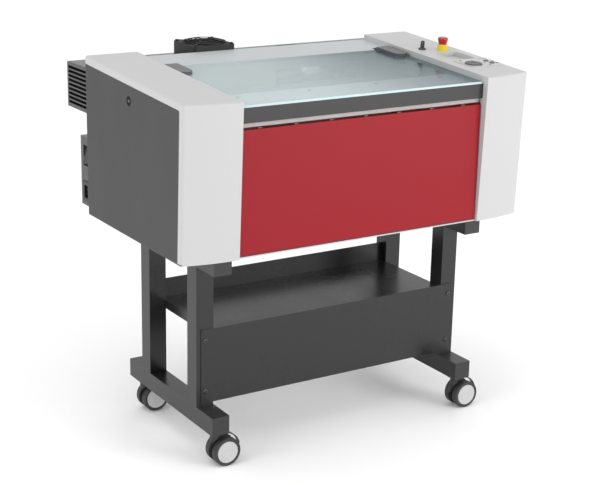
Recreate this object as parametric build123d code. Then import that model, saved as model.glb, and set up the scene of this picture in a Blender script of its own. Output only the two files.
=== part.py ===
from build123d import *
import math
import os

# A laser cutter on a wheeled stand.  Millimetres, +Z up, the floor at z = 0, x = 0 in the middle of
# its width, and y = 0 in the middle of its depth with the operator on the -Y side.

# ---------------------------------------------------------------- overall sizes
OVERALL_WIDTH = 967.0
BODY_DEPTH = 523.0
HOUSING_DEPTH = 122.0
SPIGOT_LENGTH = 55.0
POD_WIDTH = 140.5
POD_FRONT_HEIGHT = 366.0
POD_BACK_HEIGHT = 400.5

# ---------------------------------------------------------------- stand
STAND_INSET = 96.8
TUBE = 46.0
TUBE_WALL = 2.0
LEG_HEIGHT = 354.0
FOOT_FRONT = 54.0
FOOT_BACK_INSET = 25.6
BEAM_FRONT = 47.0
BEAM_BACK_INSET = 25.0
FRONT_LEG_Y = 132.0
REAR_LEG_INSET = 143.0
CAP_THICKNESS = 2.0
CAP_PLUG = 10.0
STAND_SHEET = 2.0
STAND_PANEL_INSET = 12.2
STAND_PANEL_LIFT = 7.0
STAND_PANEL_LAP = 4.0
SHELF_LIFT = 191.0
SHELF_LIP = 50.0
STAND_BOLT_LIFT = (38.2, 167.4)
STAND_BOLT_HEAD_R = 6.0
STAND_BOLT_HEAD = 3.0
STAND_BOLT_R = 3.0
STAND_BOLT_REACH = 8.0

# ---------------------------------------------------------------- casters
CASTER_FRONT_Y = 82.0
CASTER_BACK_INSET = 36.4
CASTER_TRAIL = 23.0
CASTER_PLATE_R = 21.0
CASTER_PLATE = 3.0
CASTER_NECK_R = 12.0
CASTER_PIN_R = 5.0
CASTER_PIN = 16.0
TYRE_R = 35.5
CASTER_WIDTH = 50.0
CASTER_WEB = 12.0
CASTER_SIDE_GAP = 2.0
WHEEL_CAP_R = 27.6
WHEEL_CAP_DEPTH = 1.5
AXLE_R = 4.0
FENDER_GAP = 6.0
FENDER = 2.5
FENDER_HEADROOM = 8.5

# ---------------------------------------------------------------- sheets and fits
PAN = 3.0
POD_WALL = 3.0
POD_SIDE_WALL = 5.0
SHEET = 2.0
GAP = 0.3
RUN = 0.05

# ---------------------------------------------------------------- side pods
POD_TOE = 5.0
POD_BROW = 8.0
POD_CORNER_SETBACK = 19.0
POD_CORNER_R = 8.0
POD_EDGE_R = 5.0
PANEL = 3.0
PANEL_FRONT = 41.0
PANEL_FRONT_TOP = 352.0
PANEL_BACK_TOP = 381.0
PANEL_CORNER_R = 6.0
PANEL_LIP = 8.0
LATCH_Y = 281.0
LATCH_Z = 330.0
LATCH_R = 12.0
LATCH_RECESS = 2.0
LATCH_SHAFT_R = 4.0
LATCH_CAM = 34.0
TRAY_IN = (42.0, 112.0)
TRAY_S = (180.0, 262.0)
TRAY_DEPTH = 12.0
TRAY_CORNER_R = 10.0

# ---------------------------------------------------------------- lid, bands and decks
LID_DROP = 13.0
GLASS = 5.0
LID_SIDE_GAP = 3.0
GLASS_FRONT = 8.0
LID_HINGE_GAP = 1.0
HINGE_INSET = 117.0
HINGE_H = -16.0
HINGE_KNUCKLE_R = 7.0
HINGE_PIN_R = 3.0
HINGE_EAR = 3.7
ARM_INSET = 27.0
ARM_WIDTH = 40.0
ARM_KNUCKLE_WIDTH = 30.0
ARM_LENGTH = 101.0
ARM = 8.0
REAR_DECK_LAP = 6.0
DECK_NOTCH = 12.0
DECK_NOTCH_WIDTH = 44.0
BRACKET_LENGTH = 44.0
BRACKET_FLANGE = 4.0
FRONT_DECK_FRONT = 20.0
FRONT_DECK_BACK = 138.0
FRONT_DECK_GAP = 5.0
FRONT_DECK_LIP = 12.0
DECK_SCREW_X = (96.0, 289.0)
DECK_SCREW_S = 112.0
DECK_SCREW_R = 4.0
DECK_SCREW_HEAD = 2.2
BAND_Y = 10.0
BAND_BOTTOM = 312.6
BAND_SIDE_GAP = 1.0
BAND_FLANGE = 10.0
STRIP_Y = 18.0
STRIP_DEPTH = 6.0
STRIP_HEIGHT = 11.6
STRIP_INSET = 4.0

# ---------------------------------------------------------------- front door
DOOR_SIDE_GAP = 3.0
DOOR_Y = 12.0
DOOR_BOTTOM = 5.0
DOOR_TOP = 297.0
DOOR_SHEET = 3.0
DOOR_RETURN = 15.0
DOOR_AXIS_Y = 16.5
DOOR_AXIS_Z = 9.5
DOOR_PIN_R = 3.0
DOOR_PIN_FLANGE_R = 5.5
DOOR_PIN_INNER = 9.0
DOOR_CATCHES = 7
DOOR_CATCH_PITCH = 96.0
DOOR_CATCH_WIDTH = 12.0
DOOR_CATCH_HEIGHT = 3.0

# ---------------------------------------------------------------- gas strut
STRUT_INSET = 12.0
STRUT_LOW_INSET = 26.0
STRUT_LOW_Z = 190.0
STRUT_LID_INSET = 181.0
STRUT_LID_DROP = 12.0
STRUT_R = 7.0
STRUT_ROD_R = 3.5
STRUT_END_GAP = 26.0
STRUT_EYE_WIDTH = 8.0
STRUT_BRACKET = 5.0
STRUT_BOLT_INSET = 33.0
STRUT_BOLT_R = 3.0
STRUT_BOLT_HEAD_R = 6.5
STRUT_BOLT_HEAD = 3.0

# ---------------------------------------------------------------- controls on the right pod
KEYPAD_IN = (31.0, 131.0)
KEYPAD_S = (92.0, 168.0)
KEYPAD = 2.5
KEYPAD_CORNER_R = 5.0
JOG_IN = 55.0
JOG_S = 119.0
JOG_R = 22.0
BUTTON_R = 6.5
BUTTON_IN = 109.0
START_S = 112.0
PAUSE_S = 136.0
BUTTON_GAP = 0.4
BUTTON_REST = 1.5
BUTTON_HEIGHT = 3.0
KEY_IN = 39.0
KEY_S = 313.0
KEY_BASE_R = 10.0
KEY_BASE = 4.0
SWITCH_BARREL_R = 9.0
SWITCH_BARREL = 22.0
KEY_BLADE_R = 5.0
KEY_BLADE = 18.0
KEY_BOW_WIDTH = 11.0
KEY_BOW = 3.0
KEY_HEIGHT = 23.0
STOP_IN = 83.0
STOP_S = 285.0
STOP_BASE_R = 13.5
STOP_BASE = 17.0
STOP_NECK_R = 10.5
STOP_NECK = 13.0
STOP_CAP_R = 14.5
STOP_CAP_WAIST_R = 11.5
STOP_CAP = 14.0
STOP_TRAVEL = 4.0
STOP_BARREL_R = 12.5

# ---------------------------------------------------------------- rear housings
HOUSING_INSET = 3.5
HOUSING_BOTTOM = 256.0
HOUSING_TOP = 370.0
HOUSING_EDGE_R = 5.0
LOUVRES = 9
LOUVRE_PITCH = 11.0
LOUVRE_HEIGHT = 7.0
LOUVRE_LENGTH = 108.0
VENT_LEFT = 60.0
VENT_INSET = 23.0
VENT_Z = (275.0, 325.0)
LASER_TUBE_R = 25.0
LASER_TUBE_INSET = 65.0
TUBE_SADDLE_X = 300.0
TUBE_SADDLE = 24.0
FAN_X = -121.5
FAN_SIZE = 119.0
FAN_HEIGHT = 32.0
FAN_CORNER_R = 6.0
FAN_BORE_R = 56.5
FAN_SCREW_PITCH = 105.0
FAN_SCREW_R = 2.2
FAN_HUB_R = 20.0
FAN_STRUT = 4.0
FAN_SHAFT_R = 2.0
FAN_BLADES = 7
FAN_BLADE_R = 54.5
FAN_BLADE = 2.0
GUARD_R = 56.0
GUARD_RISE = 11.5
GUARD_WIRE = 2.0
GUARD_RINGS = 5
SPIGOT_X = 250.0
SPIGOT_Z = 313.0
SPIGOT_R = 37.5
SPIGOT_FLANGE_R = 46.0
CONNECTOR_INSET = 28.5
CONNECTOR_WIDTH = 250.0
CONNECTOR_DEPTH = 106.0
CONNECTOR_HEIGHT = 180.0
SWITCH_BEHIND = (60.0, 90.0)
SWITCH_Z = (105.0, 158.0)
INLET_Z = (14.0, 60.0)
ROCKER_INSET = 5.0
ROCKER_TILT = 12.0
ROCKER_PIN_R = 1.5
SOCKET_DEPTH = 20.0

# ---------------------------------------------------------------- inside the chamber
TABLE_INSET = 55.0
TABLE_FRONT = 56.0
TABLE_BACK_INSET = 31.0
TABLE_TOP = 60.0
TABLE = 12.0
TABLE_TRAVEL = 120.0
POST_INSET = 63.0
POST_EDGE = 10.0
POST_R = 6.0
POST_ABOVE = 35.0
POST_FOOT_R = 10.0
SCREW_EDGE = 14.0
SCREW_R = 4.0
RAIL_INSET = 35.0
RAIL_WIDTH = 20.0
RAIL_HEIGHT = 20.0
RAIL_TOP = 256.0
RAIL_FRONT = 34.0
RAIL_LEG = 12.0
BEAM_NEAREST = 140.0
BEAM_DEPTH = 30.0
BEAM_HEIGHT = 40.0
BEAM_WALL = 3.0
GANTRY_TRAVEL = 300.0
HEAD_WIDTH = 50.0
HEAD_DEPTH = 44.0
HEAD_BOTTOM = 232.0
HEAD_TOP = 310.0
HEAD_HOOK = 3.0
HEAD_TRAVEL = 500.0
NOZZLE_R = 9.0
NOZZLE_BOTTOM = 204.0
SHAFT_INSET = 23.0
SHAFT_Z = 246.0
SHAFT_R = 4.0
PULLEY_R = 8.0
PULLEY_WIDTH = 12.0
SUPPLY_IN = (22.0, 112.0)
SUPPLY_Y = (120.0, 420.0)
SUPPLY_HEIGHT = 150.0
BOARD_IN = (23.0, 113.0)
BOARD_Y = (120.0, 300.0)
BOARD_STANDOFF = 12.0

# ---------------------------------------------------------------- worked-out places
OVERALL_DEPTH = POD_BROW + BODY_DEPTH + HOUSING_DEPTH + SPIGOT_LENGTH
FRONT = POD_BROW - OVERALL_DEPTH / 2
CASTER_HEIGHT = TYRE_R * 2 + FENDER_GAP + FENDER + FENDER_HEADROOM
FOOT_TOP = CASTER_HEIGHT + TUBE
BEAM_BOTTOM = FOOT_TOP + LEG_HEIGHT
SHELF_TOP = FOOT_TOP + SHELF_LIFT
STAND_PANEL_BOTTOM = FOOT_TOP + STAND_PANEL_LIFT
STAND_PANEL_TOP = SHELF_TOP + STAND_PANEL_LAP
STAND_BOLT_Z = (FOOT_TOP + STAND_BOLT_LIFT[0], FOOT_TOP + STAND_BOLT_LIFT[1])
BODY_BOTTOM = BEAM_BOTTOM + TUBE
HALF_WIDTH = OVERALL_WIDTH / 2
POD_X = HALF_WIDTH - POD_WIDTH
CHAMBER_WIDTH = POD_X * 2
POD_LEAN = (POD_TOE + POD_BROW) / POD_FRONT_HEIGHT
STAND_WIDTH = OVERALL_WIDTH - STAND_INSET * 2
STAND_PANEL_WIDTH = STAND_WIDTH - STAND_PANEL_INSET * 2
FOOT_BACK = BODY_DEPTH - FOOT_BACK_INSET
BEAM_BACK = BODY_DEPTH - BEAM_BACK_INSET
REAR_LEG_Y = BODY_DEPTH - REAR_LEG_INSET
CASTER_X = STAND_WIDTH / 2 - TUBE / 2
CASTER_Y = (CASTER_FRONT_Y, FOOT_BACK - CASTER_BACK_INSET)
STAND_BOLT_X = CASTER_X
PANEL_BACK = BODY_DEPTH - GAP
TRAY_X = (POD_X + TRAY_IN[0], POD_X + TRAY_IN[1])
GLASS_WIDTH = CHAMBER_WIDTH - LID_SIDE_GAP * 2
HINGE_S = BODY_DEPTH - HINGE_INSET
GLASS_BACK = HINGE_S - HINGE_KNUCKLE_R - LID_HINGE_GAP
ARM_X = POD_X - ARM_INSET
ARM_FRONT = HINGE_S - ARM_LENGTH
REAR_DECK_FRONT = HINGE_S - REAR_DECK_LAP
DECK_NOTCH_BACK = HINGE_S + DECK_NOTCH
BRACKET_BACK = HINGE_S + BRACKET_LENGTH
BAND_WIDTH = CHAMBER_WIDTH - BAND_SIDE_GAP * 2
STRIP_WIDTH = BAND_WIDTH - STRIP_INSET * 2
DOOR_WIDTH = CHAMBER_WIDTH - DOOR_SIDE_GAP * 2
STRUT_X = POD_X - STRUT_INSET
STRUT_BOLT_X = POD_X - STRUT_BOLT_INSET
STRUT_LOW_Y = HINGE_S - STRUT_LOW_INSET
STRUT_LID_S = HINGE_S - STRUT_LID_INSET
KEYPAD_X = (POD_X + KEYPAD_IN[0], POD_X + KEYPAD_IN[1])
JOG_X = POD_X + JOG_IN
BUTTON_X = POD_X + BUTTON_IN
KEY_X = POD_X + KEY_IN
STOP_X = POD_X + STOP_IN
HOUSING_WIDTH = OVERALL_WIDTH - HOUSING_INSET * 2
LASER_TUBE_LENGTH = HOUSING_WIDTH - LASER_TUBE_INSET * 2
VENT_X = (VENT_LEFT, POD_X - VENT_INSET)
CONNECTOR_X = (CONNECTOR_INSET - HALF_WIDTH, CONNECTOR_INSET - HALF_WIDTH + CONNECTOR_WIDTH)
SWITCH_Y = (BODY_DEPTH + SWITCH_BEHIND[0], BODY_DEPTH + SWITCH_BEHIND[1])
TABLE_WIDTH = CHAMBER_WIDTH - TABLE_INSET * 2
TABLE_Y = (TABLE_FRONT, BODY_DEPTH - TABLE_BACK_INSET)
POST_X = POD_X - POST_INSET
POST_Y = (TABLE_Y[0] + POST_EDGE, TABLE_Y[1] - POST_EDGE)
POST_TOP = TABLE_TOP + TABLE_TRAVEL + POST_ABOVE
SCREW_Y = TABLE_Y[1] - SCREW_EDGE
RAIL_X = POD_X - RAIL_INSET
BEAM_Y = (BEAM_NEAREST + GANTRY_TRAVEL, BEAM_NEAREST + GANTRY_TRAVEL + BEAM_DEPTH)
HEAD_X = -HEAD_TRAVEL / 2
SHAFT_Y = BODY_DEPTH - SHAFT_INSET
SUPPLY_X = (-POD_X - SUPPLY_IN[1], -POD_X - SUPPLY_IN[0])
BOARD_X = (POD_X + BOARD_IN[0], POD_X + BOARD_IN[1])
HOUSING_BACK = BODY_DEPTH + HOUSING_DEPTH
TOP_ANGLE = math.degrees(math.atan((POD_BACK_HEIGHT - POD_FRONT_HEIGHT) / BODY_DEPTH))
GLASS_BOTTOM = -LID_DROP - GLASS
FAR = 2000.0

# FLOOR_FRAME and BODY_FRAME hold places as x, distance back from the front and height above the floor
# or above the cabinet's underside.  TOP_FRAME lies in the sloping plane of the pod tops: x, distance
# back along the slope and height above that plane.
FLOOR_FRAME = Location((0, FRONT, 0))
BODY_FRAME = Location((0, FRONT, BODY_BOTTOM))
TOP_FRAME = Location((0, FRONT, BODY_BOTTOM + POD_FRONT_HEIGHT), (TOP_ANGLE, 0, 0))
SLOPE = Location((0, 0, POD_FRONT_HEIGHT), (TOP_ANGLE, 0, 0))


# ---------------------------------------------------------------- helpers
def block(x, y, z):
    """A box given by its (low, high) limits."""
    size = [high - low for low, high in (x, y, z)]
    middle = [(high + low) / 2 for low, high in (x, y, z)]
    return Pos(*middle) * Box(*size)


def bar(start, end, radius):
    """A round bar from one point to another."""
    along = Vector(*end) - Vector(*start)
    upright = Cylinder(radius, along.length, align=(Align.CENTER, Align.CENTER, Align.MIN))
    return Plane(origin=start, z_dir=along) * upright


def disc(x, y, low, high, radius):
    """A round upright boss between two heights."""
    return bar((x, y, low), (x, y, high), radius)


def plate(points, plane, thickness):
    """A sheet with a straight-sided outline, thickened both ways from its plane."""
    return extrude(plane * make_face(Polyline(*points, close=True)), amount=thickness / 2, both=True)


def mirrored(shape):
    """The same piece on the other side of the machine."""
    return mirror(shape, about=Plane.YZ)


def below_top(height):
    """Everything lower than a height measured from the sloping plane of the pod tops."""
    return SLOPE * block((-FAR, FAR), (-FAR, FAR), (height - FAR, height))


def save(name, shape):
    """Write one piece, as its separate solids, to its own file."""
    solids = shape.solids()
    export_step(Compound(solids) if len(solids) > 1 else solids[0], f"parts/{name}.step")


# ---------------------------------------------------------------- stand
def tube_run(x, y, z, wall):
    """A stretch of square tube's outside (wall 0) or its hollow, along its longest side."""
    sides = [x, y, z]
    lengths = [high - low for low, high in sides]
    longest = lengths.index(max(lengths))
    for i in range(3):
        if i != longest:
            sides[i] = (sides[i][0] + wall, sides[i][1] - wall)
    return block(*sides)


def stand_frame():
    """The right welded side: a foot, two legs and the beam under the cabinet."""
    x = (STAND_WIDTH / 2 - TUBE, STAND_WIDTH / 2)
    foot = (x, (FOOT_FRONT, FOOT_BACK), (CASTER_HEIGHT, FOOT_TOP))
    beam = (x, (BEAM_FRONT, BEAM_BACK), (BEAM_BOTTOM, BODY_BOTTOM))
    legs = [(x, (y, y + TUBE)) for y in (FRONT_LEG_Y, REAR_LEG_Y)]
    frame = tube_run(*foot, 0) + tube_run(*beam, 0)
    for leg_x, leg_y in legs:
        frame += tube_run(leg_x, leg_y, (FOOT_TOP, BEAM_BOTTOM), 0)
    frame -= tube_run(*foot, TUBE_WALL) + tube_run(*beam, TUBE_WALL)
    for leg_x, leg_y in legs:
        frame -= tube_run(leg_x, leg_y, (FOOT_TOP - TUBE_WALL, BEAM_BOTTOM + TUBE_WALL), TUBE_WALL)
    for z in STAND_BOLT_Z:
        hole = bar((STAND_BOLT_X, FRONT_LEG_Y - 1, z), (STAND_BOLT_X, FRONT_LEG_Y + TUBE / 2, z),
                   STAND_BOLT_R + GAP)
        frame -= hole
    return frame


def tube_end_caps():
    """Push-in caps that close the open ends of the feet and beams."""
    x = (STAND_WIDTH / 2 - TUBE, STAND_WIDTH / 2)
    inner_x = (x[0] + TUBE_WALL + GAP, x[1] - TUBE_WALL - GAP)
    caps = []
    for z, ends in ((CASTER_HEIGHT, (FOOT_FRONT, FOOT_BACK)), (BEAM_BOTTOM, (BEAM_FRONT, BEAM_BACK))):
        inner_z = (z + TUBE_WALL + GAP, z + TUBE - TUBE_WALL - GAP)
        front, back = ends
        face = block(x, (front - CAP_THICKNESS, front), (z, z + TUBE))
        caps.append(face + block(inner_x, (front, front + CAP_PLUG), inner_z))
        face = block(x, (back, back + CAP_THICKNESS), (z, z + TUBE))
        caps.append(face + block(inner_x, (back - CAP_PLUG, back), inner_z))
    return Compound([c.solid() for c in caps] + [mirrored(c).solid() for c in caps])


def stand_front_panel():
    """The folded sheet bolted across the two front legs."""
    half = STAND_PANEL_WIDTH / 2
    y = (FRONT_LEG_Y - STAND_SHEET, FRONT_LEG_Y)
    panel = block((-half, half), y, (STAND_PANEL_BOTTOM, STAND_PANEL_TOP))
    for x in (-STAND_BOLT_X, STAND_BOLT_X):
        for z in STAND_BOLT_Z:
            panel -= bar((x, y[0] - 1, z), (x, y[1] + 1, z), STAND_BOLT_R + GAP)
    return panel


def stand_bolts():
    """Round-headed bolts through the panel into the legs."""
    face = FRONT_LEG_Y - STAND_SHEET
    bolts = []
    for x in (-STAND_BOLT_X, STAND_BOLT_X):
        for z in STAND_BOLT_Z:
            head = bar((x, face - STAND_BOLT_HEAD, z), (x, face, z), STAND_BOLT_HEAD_R)
            head = fillet(head.edges().sort_by(Axis.Y)[0], STAND_BOLT_HEAD / 2)
            bolts.append(head + bar((x, face, z), (x, face + STAND_BOLT_REACH, z), STAND_BOLT_R))
    return Compound([b.solid() for b in bolts])


def stand_shelf():
    """The tray between the side frames, with a lip up at the back and sides that bolt to the legs."""
    half = STAND_WIDTH / 2 - TUBE - GAP
    y = (FRONT_LEG_Y, REAR_LEG_Y + TUBE / 2)
    base = (SHELF_TOP - STAND_SHEET, SHELF_TOP)
    shelf = block((-half, half), y, base)
    shelf += block((-half, half), (y[1] - STAND_SHEET, y[1]), (SHELF_TOP, SHELF_TOP + SHELF_LIP))
    for x in ((-half, STAND_SHEET - half), (half - STAND_SHEET, half)):
        shelf += block(x, y, (SHELF_TOP - TUBE / 2, base[0]))
    return shelf


# ---------------------------------------------------------------- casters
def caster_places():
    """The four casters by corner name, each at its swivel axis."""
    places = {}
    for side, x in (("left", -CASTER_X), ("right", CASTER_X)):
        for end, y in (("front", CASTER_Y[0]), ("rear", CASTER_Y[1])):
            places[f"{end}_{side}"] = Pos(x, y, 0)
    return places


def caster_plate():
    """The fixed disc under the foot, with the pin that the fork turns on."""
    plate_disc = disc(0, 0, CASTER_HEIGHT - CASTER_PLATE, CASTER_HEIGHT, CASTER_PLATE_R)
    return plate_disc + disc(0, 0, CASTER_HEIGHT - CASTER_PLATE - CASTER_PIN, CASTER_HEIGHT, CASTER_PIN_R)


def caster_fork():
    """The swivelling body: a neck, a web between the two wheels and an arch that trails over them."""
    neck_top = CASTER_HEIGHT - CASTER_PLATE - GAP
    fender_in = TYRE_R + FENDER_GAP
    fender_out = fender_in + FENDER
    hub = (CASTER_TRAIL, TYRE_R)

    def across(radius, width):
        return bar((hub[0], -width / 2, hub[1]), (hub[0], width / 2, hub[1]), radius)

    above = (hub[1] + AXLE_R * 2, FAR)
    arch = across(fender_out, CASTER_WEB) - across(fender_in, CASTER_WEB + 2)
    fork = arch & block((-FAR, FAR), (-FAR, FAR), above)
    fork += across(fender_in, CASTER_WEB) & block((-FAR, hub[0]), (-FAR, FAR), above)
    fork += across(AXLE_R * 3, CASTER_WEB)
    neck = disc(0, 0, CASTER_HEIGHT / 2, neck_top, CASTER_NECK_R)
    neck -= across(fender_in, CASTER_WIDTH)
    fork += neck
    fork -= disc(0, 0, CASTER_HEIGHT - CASTER_PLATE - CASTER_PIN - 1, CASTER_HEIGHT, CASTER_PIN_R + RUN)
    fork -= across(AXLE_R + RUN, CASTER_WIDTH)
    return fork


def caster_wheels():
    """Two tyred wheels joined by their axle."""
    half = CASTER_WIDTH / 2
    inner = CASTER_WEB / 2 + CASTER_SIDE_GAP
    rim = WHEEL_CAP_R + WHEEL_CAP_DEPTH
    outline = [(0, -half + WHEEL_CAP_DEPTH), (WHEEL_CAP_R, -half + WHEEL_CAP_DEPTH), (rim, -half),
               (TYRE_R - 2, -half), (TYRE_R, 2 - half), (TYRE_R, -inner - 1), (TYRE_R - 1, -inner),
               (AXLE_R, -inner)]
    outline += [(r, -y) for r, y in reversed(outline)]
    section = make_face(Polyline(*[(r, y, 0) for r, y in outline], close=True))
    return Pos(CASTER_TRAIL, 0, TYRE_R) * revolve(section, axis=Axis.Y)


# ---------------------------------------------------------------- cabinet shell
def base_pan():
    """The cabinet's floor, in the same plan as the pods and bands, and the chamber's rear wall."""
    floor = pod_plan(0, 0, PAN) + mirrored(pod_plan(0, 0, PAN))
    floor += block((-POD_X, POD_X), (DOOR_Y, BODY_DEPTH), (0, PAN))
    wall = block((GAP - POD_X, POD_X - GAP), (BODY_DEPTH - SHEET, BODY_DEPTH), (PAN, POD_BACK_HEIGHT))
    wall &= below_top(-LID_DROP - SHEET)
    return floor + wall - vent(BODY_DEPTH)


def vent(y):
    """The opening between the chamber and the rear housing."""
    return block(VENT_X, (y - HOUSING_DEPTH / 3, y + HOUSING_DEPTH / 3), VENT_Z)


def pod_plan(wall, side_wall, height):
    """A pod's upright block, drawn in by a wall; its bowed front leans out towards the top."""
    inner = POD_X + wall
    outer = HALF_WIDTH - side_wall
    back = BODY_DEPTH - wall
    sections = []
    for z in (0, height):
        front = POD_TOE - POD_LEAN * z + wall
        corner = front + POD_CORNER_SETBACK
        bow = ThreePointArc((inner, front), ((inner + outer) / 2, front + POD_CORNER_SETBACK / 4),
                            (outer, corner))
        rest = Polyline((outer, corner), (outer, back), (inner, back), (inner, front))
        sections.append(Pos(0, 0, z) * make_face(Curve() + bow + rest))
    block_up = loft(sections, ruled=True)
    uprights = [e for e in block_up.edges() if abs(e.center().Z - height / 2) < height / 4]
    return fillet(max(uprights, key=lambda e: e.center().X - e.center().Y), POD_CORNER_R - wall)


def panel_outline(grow):
    """The side panel's outline in Y and Z, larger all round by a margin."""
    back = PANEL_BACK + grow
    foot = PANEL_FRONT - POD_LEAN * PAN - grow
    brow = PANEL_FRONT - POD_LEAN * PANEL_FRONT_TOP - grow
    points = [(0, foot, PAN), (0, back, PAN), (0, back, PANEL_BACK_TOP + grow), (0, brow, PANEL_FRONT_TOP + grow)]
    face = make_face(Polyline(*points, close=True))
    return fillet(face.vertices().sort_by(lambda v: v.Y - v.Z)[0], max(PANEL_CORNER_R + grow, SHEET))


def side_sheet(grow, x):
    """The panel's outline as a sheet between two distances from the machine's middle."""
    return Pos(x[0], 0, 0) * extrude(panel_outline(grow), amount=x[1] - x[0], dir=(1, 0, 0))


def pod_cover():
    """The right casing: closed front, top, back and chamber side, with a rim for the side panel."""
    tall = POD_BACK_HEIGHT * 2
    shell = pod_plan(0, 0, tall) & below_top(0)
    top_edges = shell.faces().sort_by(Axis.Z)[-1].edges()
    outer_edges = [e for e in top_edges if e.center().X > POD_X + 1 and e.center().Y < BODY_DEPTH - 1]
    shell = fillet(outer_edges, POD_EDGE_R)
    shell -= pod_plan(POD_WALL, POD_SIDE_WALL, tall) & below_top(-POD_WALL)
    seat = HALF_WIDTH - PANEL
    shell -= side_sheet(GAP, (seat, HALF_WIDTH + 1))
    shell -= side_sheet(-PANEL_LIP, (HALF_WIDTH - POD_SIDE_WALL - 1, seat + 1))
    return shell - block((0, FAR), (-FAR, FAR), (-FAR, PAN))


def tray_block(wall):
    """The sunken tray in the right pod's top, or its hollow when the wall is 0."""
    x = (TRAY_X[0] - wall, TRAY_X[1] + wall)
    s = (TRAY_S[0] - wall, TRAY_S[1] + wall)
    recess = block(x, s, (-TRAY_DEPTH - wall, -wall if wall else 1))
    return SLOPE * fillet(recess.edges().filter_by(Axis.Z), TRAY_CORNER_R + wall)


def right_pod_cover():
    """The right casing with its tray and the holes for the key switch and the stop button."""
    cover = pod_cover() + tray_block(SHEET) - tray_block(0)
    cover -= SLOPE * disc(KEY_X, KEY_S, -SWITCH_BARREL, 1, SWITCH_BARREL_R + GAP)
    cover -= SLOPE * disc(STOP_X, STOP_S, -SWITCH_BARREL, 1, STOP_BARREL_R + GAP)
    return cover


def right_side_panel():
    """The dark sheet that closes a pod's outer side."""
    return side_sheet(0, (HALF_WIDTH - PANEL, HALF_WIDTH))


def left_side_panel():
    """The same sheet on the left, with a round recess for its latch."""
    panel = right_side_panel()
    panel -= bar((HALF_WIDTH - LATCH_RECESS, LATCH_Y, LATCH_Z), (HALF_WIDTH + 1, LATCH_Y, LATCH_Z),
                 LATCH_R + GAP)
    panel -= bar((HALF_WIDTH - PANEL - 1, LATCH_Y, LATCH_Z), (HALF_WIDTH, LATCH_Y, LATCH_Z),
                 LATCH_SHAFT_R + RUN)
    return mirrored(panel)


def side_latch():
    """A quarter-turn latch: a flush disc with a finger slot, a shaft and a cam behind the panel."""
    face = HALF_WIDTH
    back = HALF_WIDTH - LATCH_RECESS + RUN
    cam_face = HALF_WIDTH - POD_SIDE_WALL - GAP
    cam = (cam_face - SHEET, cam_face)
    latch = bar((back, LATCH_Y, LATCH_Z), (face, LATCH_Y, LATCH_Z), LATCH_R)
    half_slot = LATCH_SHAFT_R / 2
    for z in (LATCH_Z - half_slot * 3, LATCH_Z + half_slot * 3):
        latch -= block((face - 1, face + 1), (LATCH_Y - LATCH_R / 2, LATCH_Y + LATCH_R / 2),
                       (z - half_slot, z + half_slot))
    latch += bar((cam[0], LATCH_Y, LATCH_Z), (face - 1, LATCH_Y, LATCH_Z), LATCH_SHAFT_R)
    latch += block(cam, (LATCH_Y - LATCH_SHAFT_R, LATCH_Y + LATCH_SHAFT_R),
                   (LATCH_Z - LATCH_SHAFT_R, LATCH_Z + LATCH_CAM))
    return mirrored(latch)


def front_band():
    """The dark bar across the front under the lid, folded back at its top and bottom."""
    half = BAND_WIDTH / 2
    back = BAND_Y + BAND_FLANGE
    band = block((-half, half), (BAND_Y, back), (BAND_BOTTOM, POD_FRONT_HEIGHT)) & below_top(GLASS_BOTTOM - GAP)
    inside = block((-FAR, FAR), (BAND_Y + POD_WALL, back + 1), (BAND_BOTTOM + SHEET, POD_FRONT_HEIGHT))
    band -= inside & below_top(GLASS_BOTTOM - GAP - SHEET)
    return band + block((-half, half), (BAND_Y, STRIP_Y + STRIP_DEPTH), (BAND_BOTTOM, BAND_BOTTOM + SHEET))


def light_strip():
    """The long diffuser of the chamber light, hung under the band."""
    half = STRIP_WIDTH / 2
    strip = block((-half, half), (STRIP_Y, STRIP_Y + STRIP_DEPTH), (BAND_BOTTOM - STRIP_HEIGHT, BAND_BOTTOM))
    return fillet(strip.edges().filter_by(Axis.X).group_by(Axis.Z)[0], STRIP_DEPTH / 4)


# ---------------------------------------------------------------- front door
def front_door():
    """The drop-down door: a folded sheet with small catches along its top edge."""
    half = DOOR_WIDTH / 2
    y = (DOOR_Y, DOOR_Y + DOOR_RETURN)
    door = block((-half, half), y, (DOOR_BOTTOM, DOOR_TOP))
    door = fillet(door.edges().filter_by(Axis.X).group_by(Axis.Y)[0], DOOR_SHEET / 2)
    inner_half = half - DOOR_SHEET
    door -= block((-inner_half, inner_half), (DOOR_Y + DOOR_SHEET, y[1] + 1),
                  (DOOR_BOTTOM + DOOR_SHEET, DOOR_TOP - DOOR_SHEET))
    for i in range(DOOR_CATCHES):
        x = (i - (DOOR_CATCHES - 1) / 2) * DOOR_CATCH_PITCH
        door += block((x - DOOR_CATCH_WIDTH / 2, x + DOOR_CATCH_WIDTH / 2),
                      (DOOR_Y + DOOR_SHEET, DOOR_Y + DOOR_SHEET * 3), (DOOR_TOP - 1, DOOR_TOP + DOOR_CATCH_HEIGHT))
    door -= bar((-half - 1, DOOR_AXIS_Y, DOOR_AXIS_Z), (half + 1, DOOR_AXIS_Y, DOOR_AXIS_Z), DOOR_PIN_R + RUN)
    return door


def door_hinge_pins():
    """A stud from each pod's chamber wall through the door's folded side."""
    flange = bar((POD_X - (POD_X - DOOR_WIDTH / 2 - GAP), DOOR_AXIS_Y, DOOR_AXIS_Z),
                 (POD_X, DOOR_AXIS_Y, DOOR_AXIS_Z), DOOR_PIN_FLANGE_R)
    pin = flange + bar((DOOR_WIDTH / 2 - DOOR_PIN_INNER, DOOR_AXIS_Y, DOOR_AXIS_Z),
                       (POD_X, DOOR_AXIS_Y, DOOR_AXIS_Z), DOOR_PIN_R)
    return Compound([pin.solid(), mirrored(pin).solid()])


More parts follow.
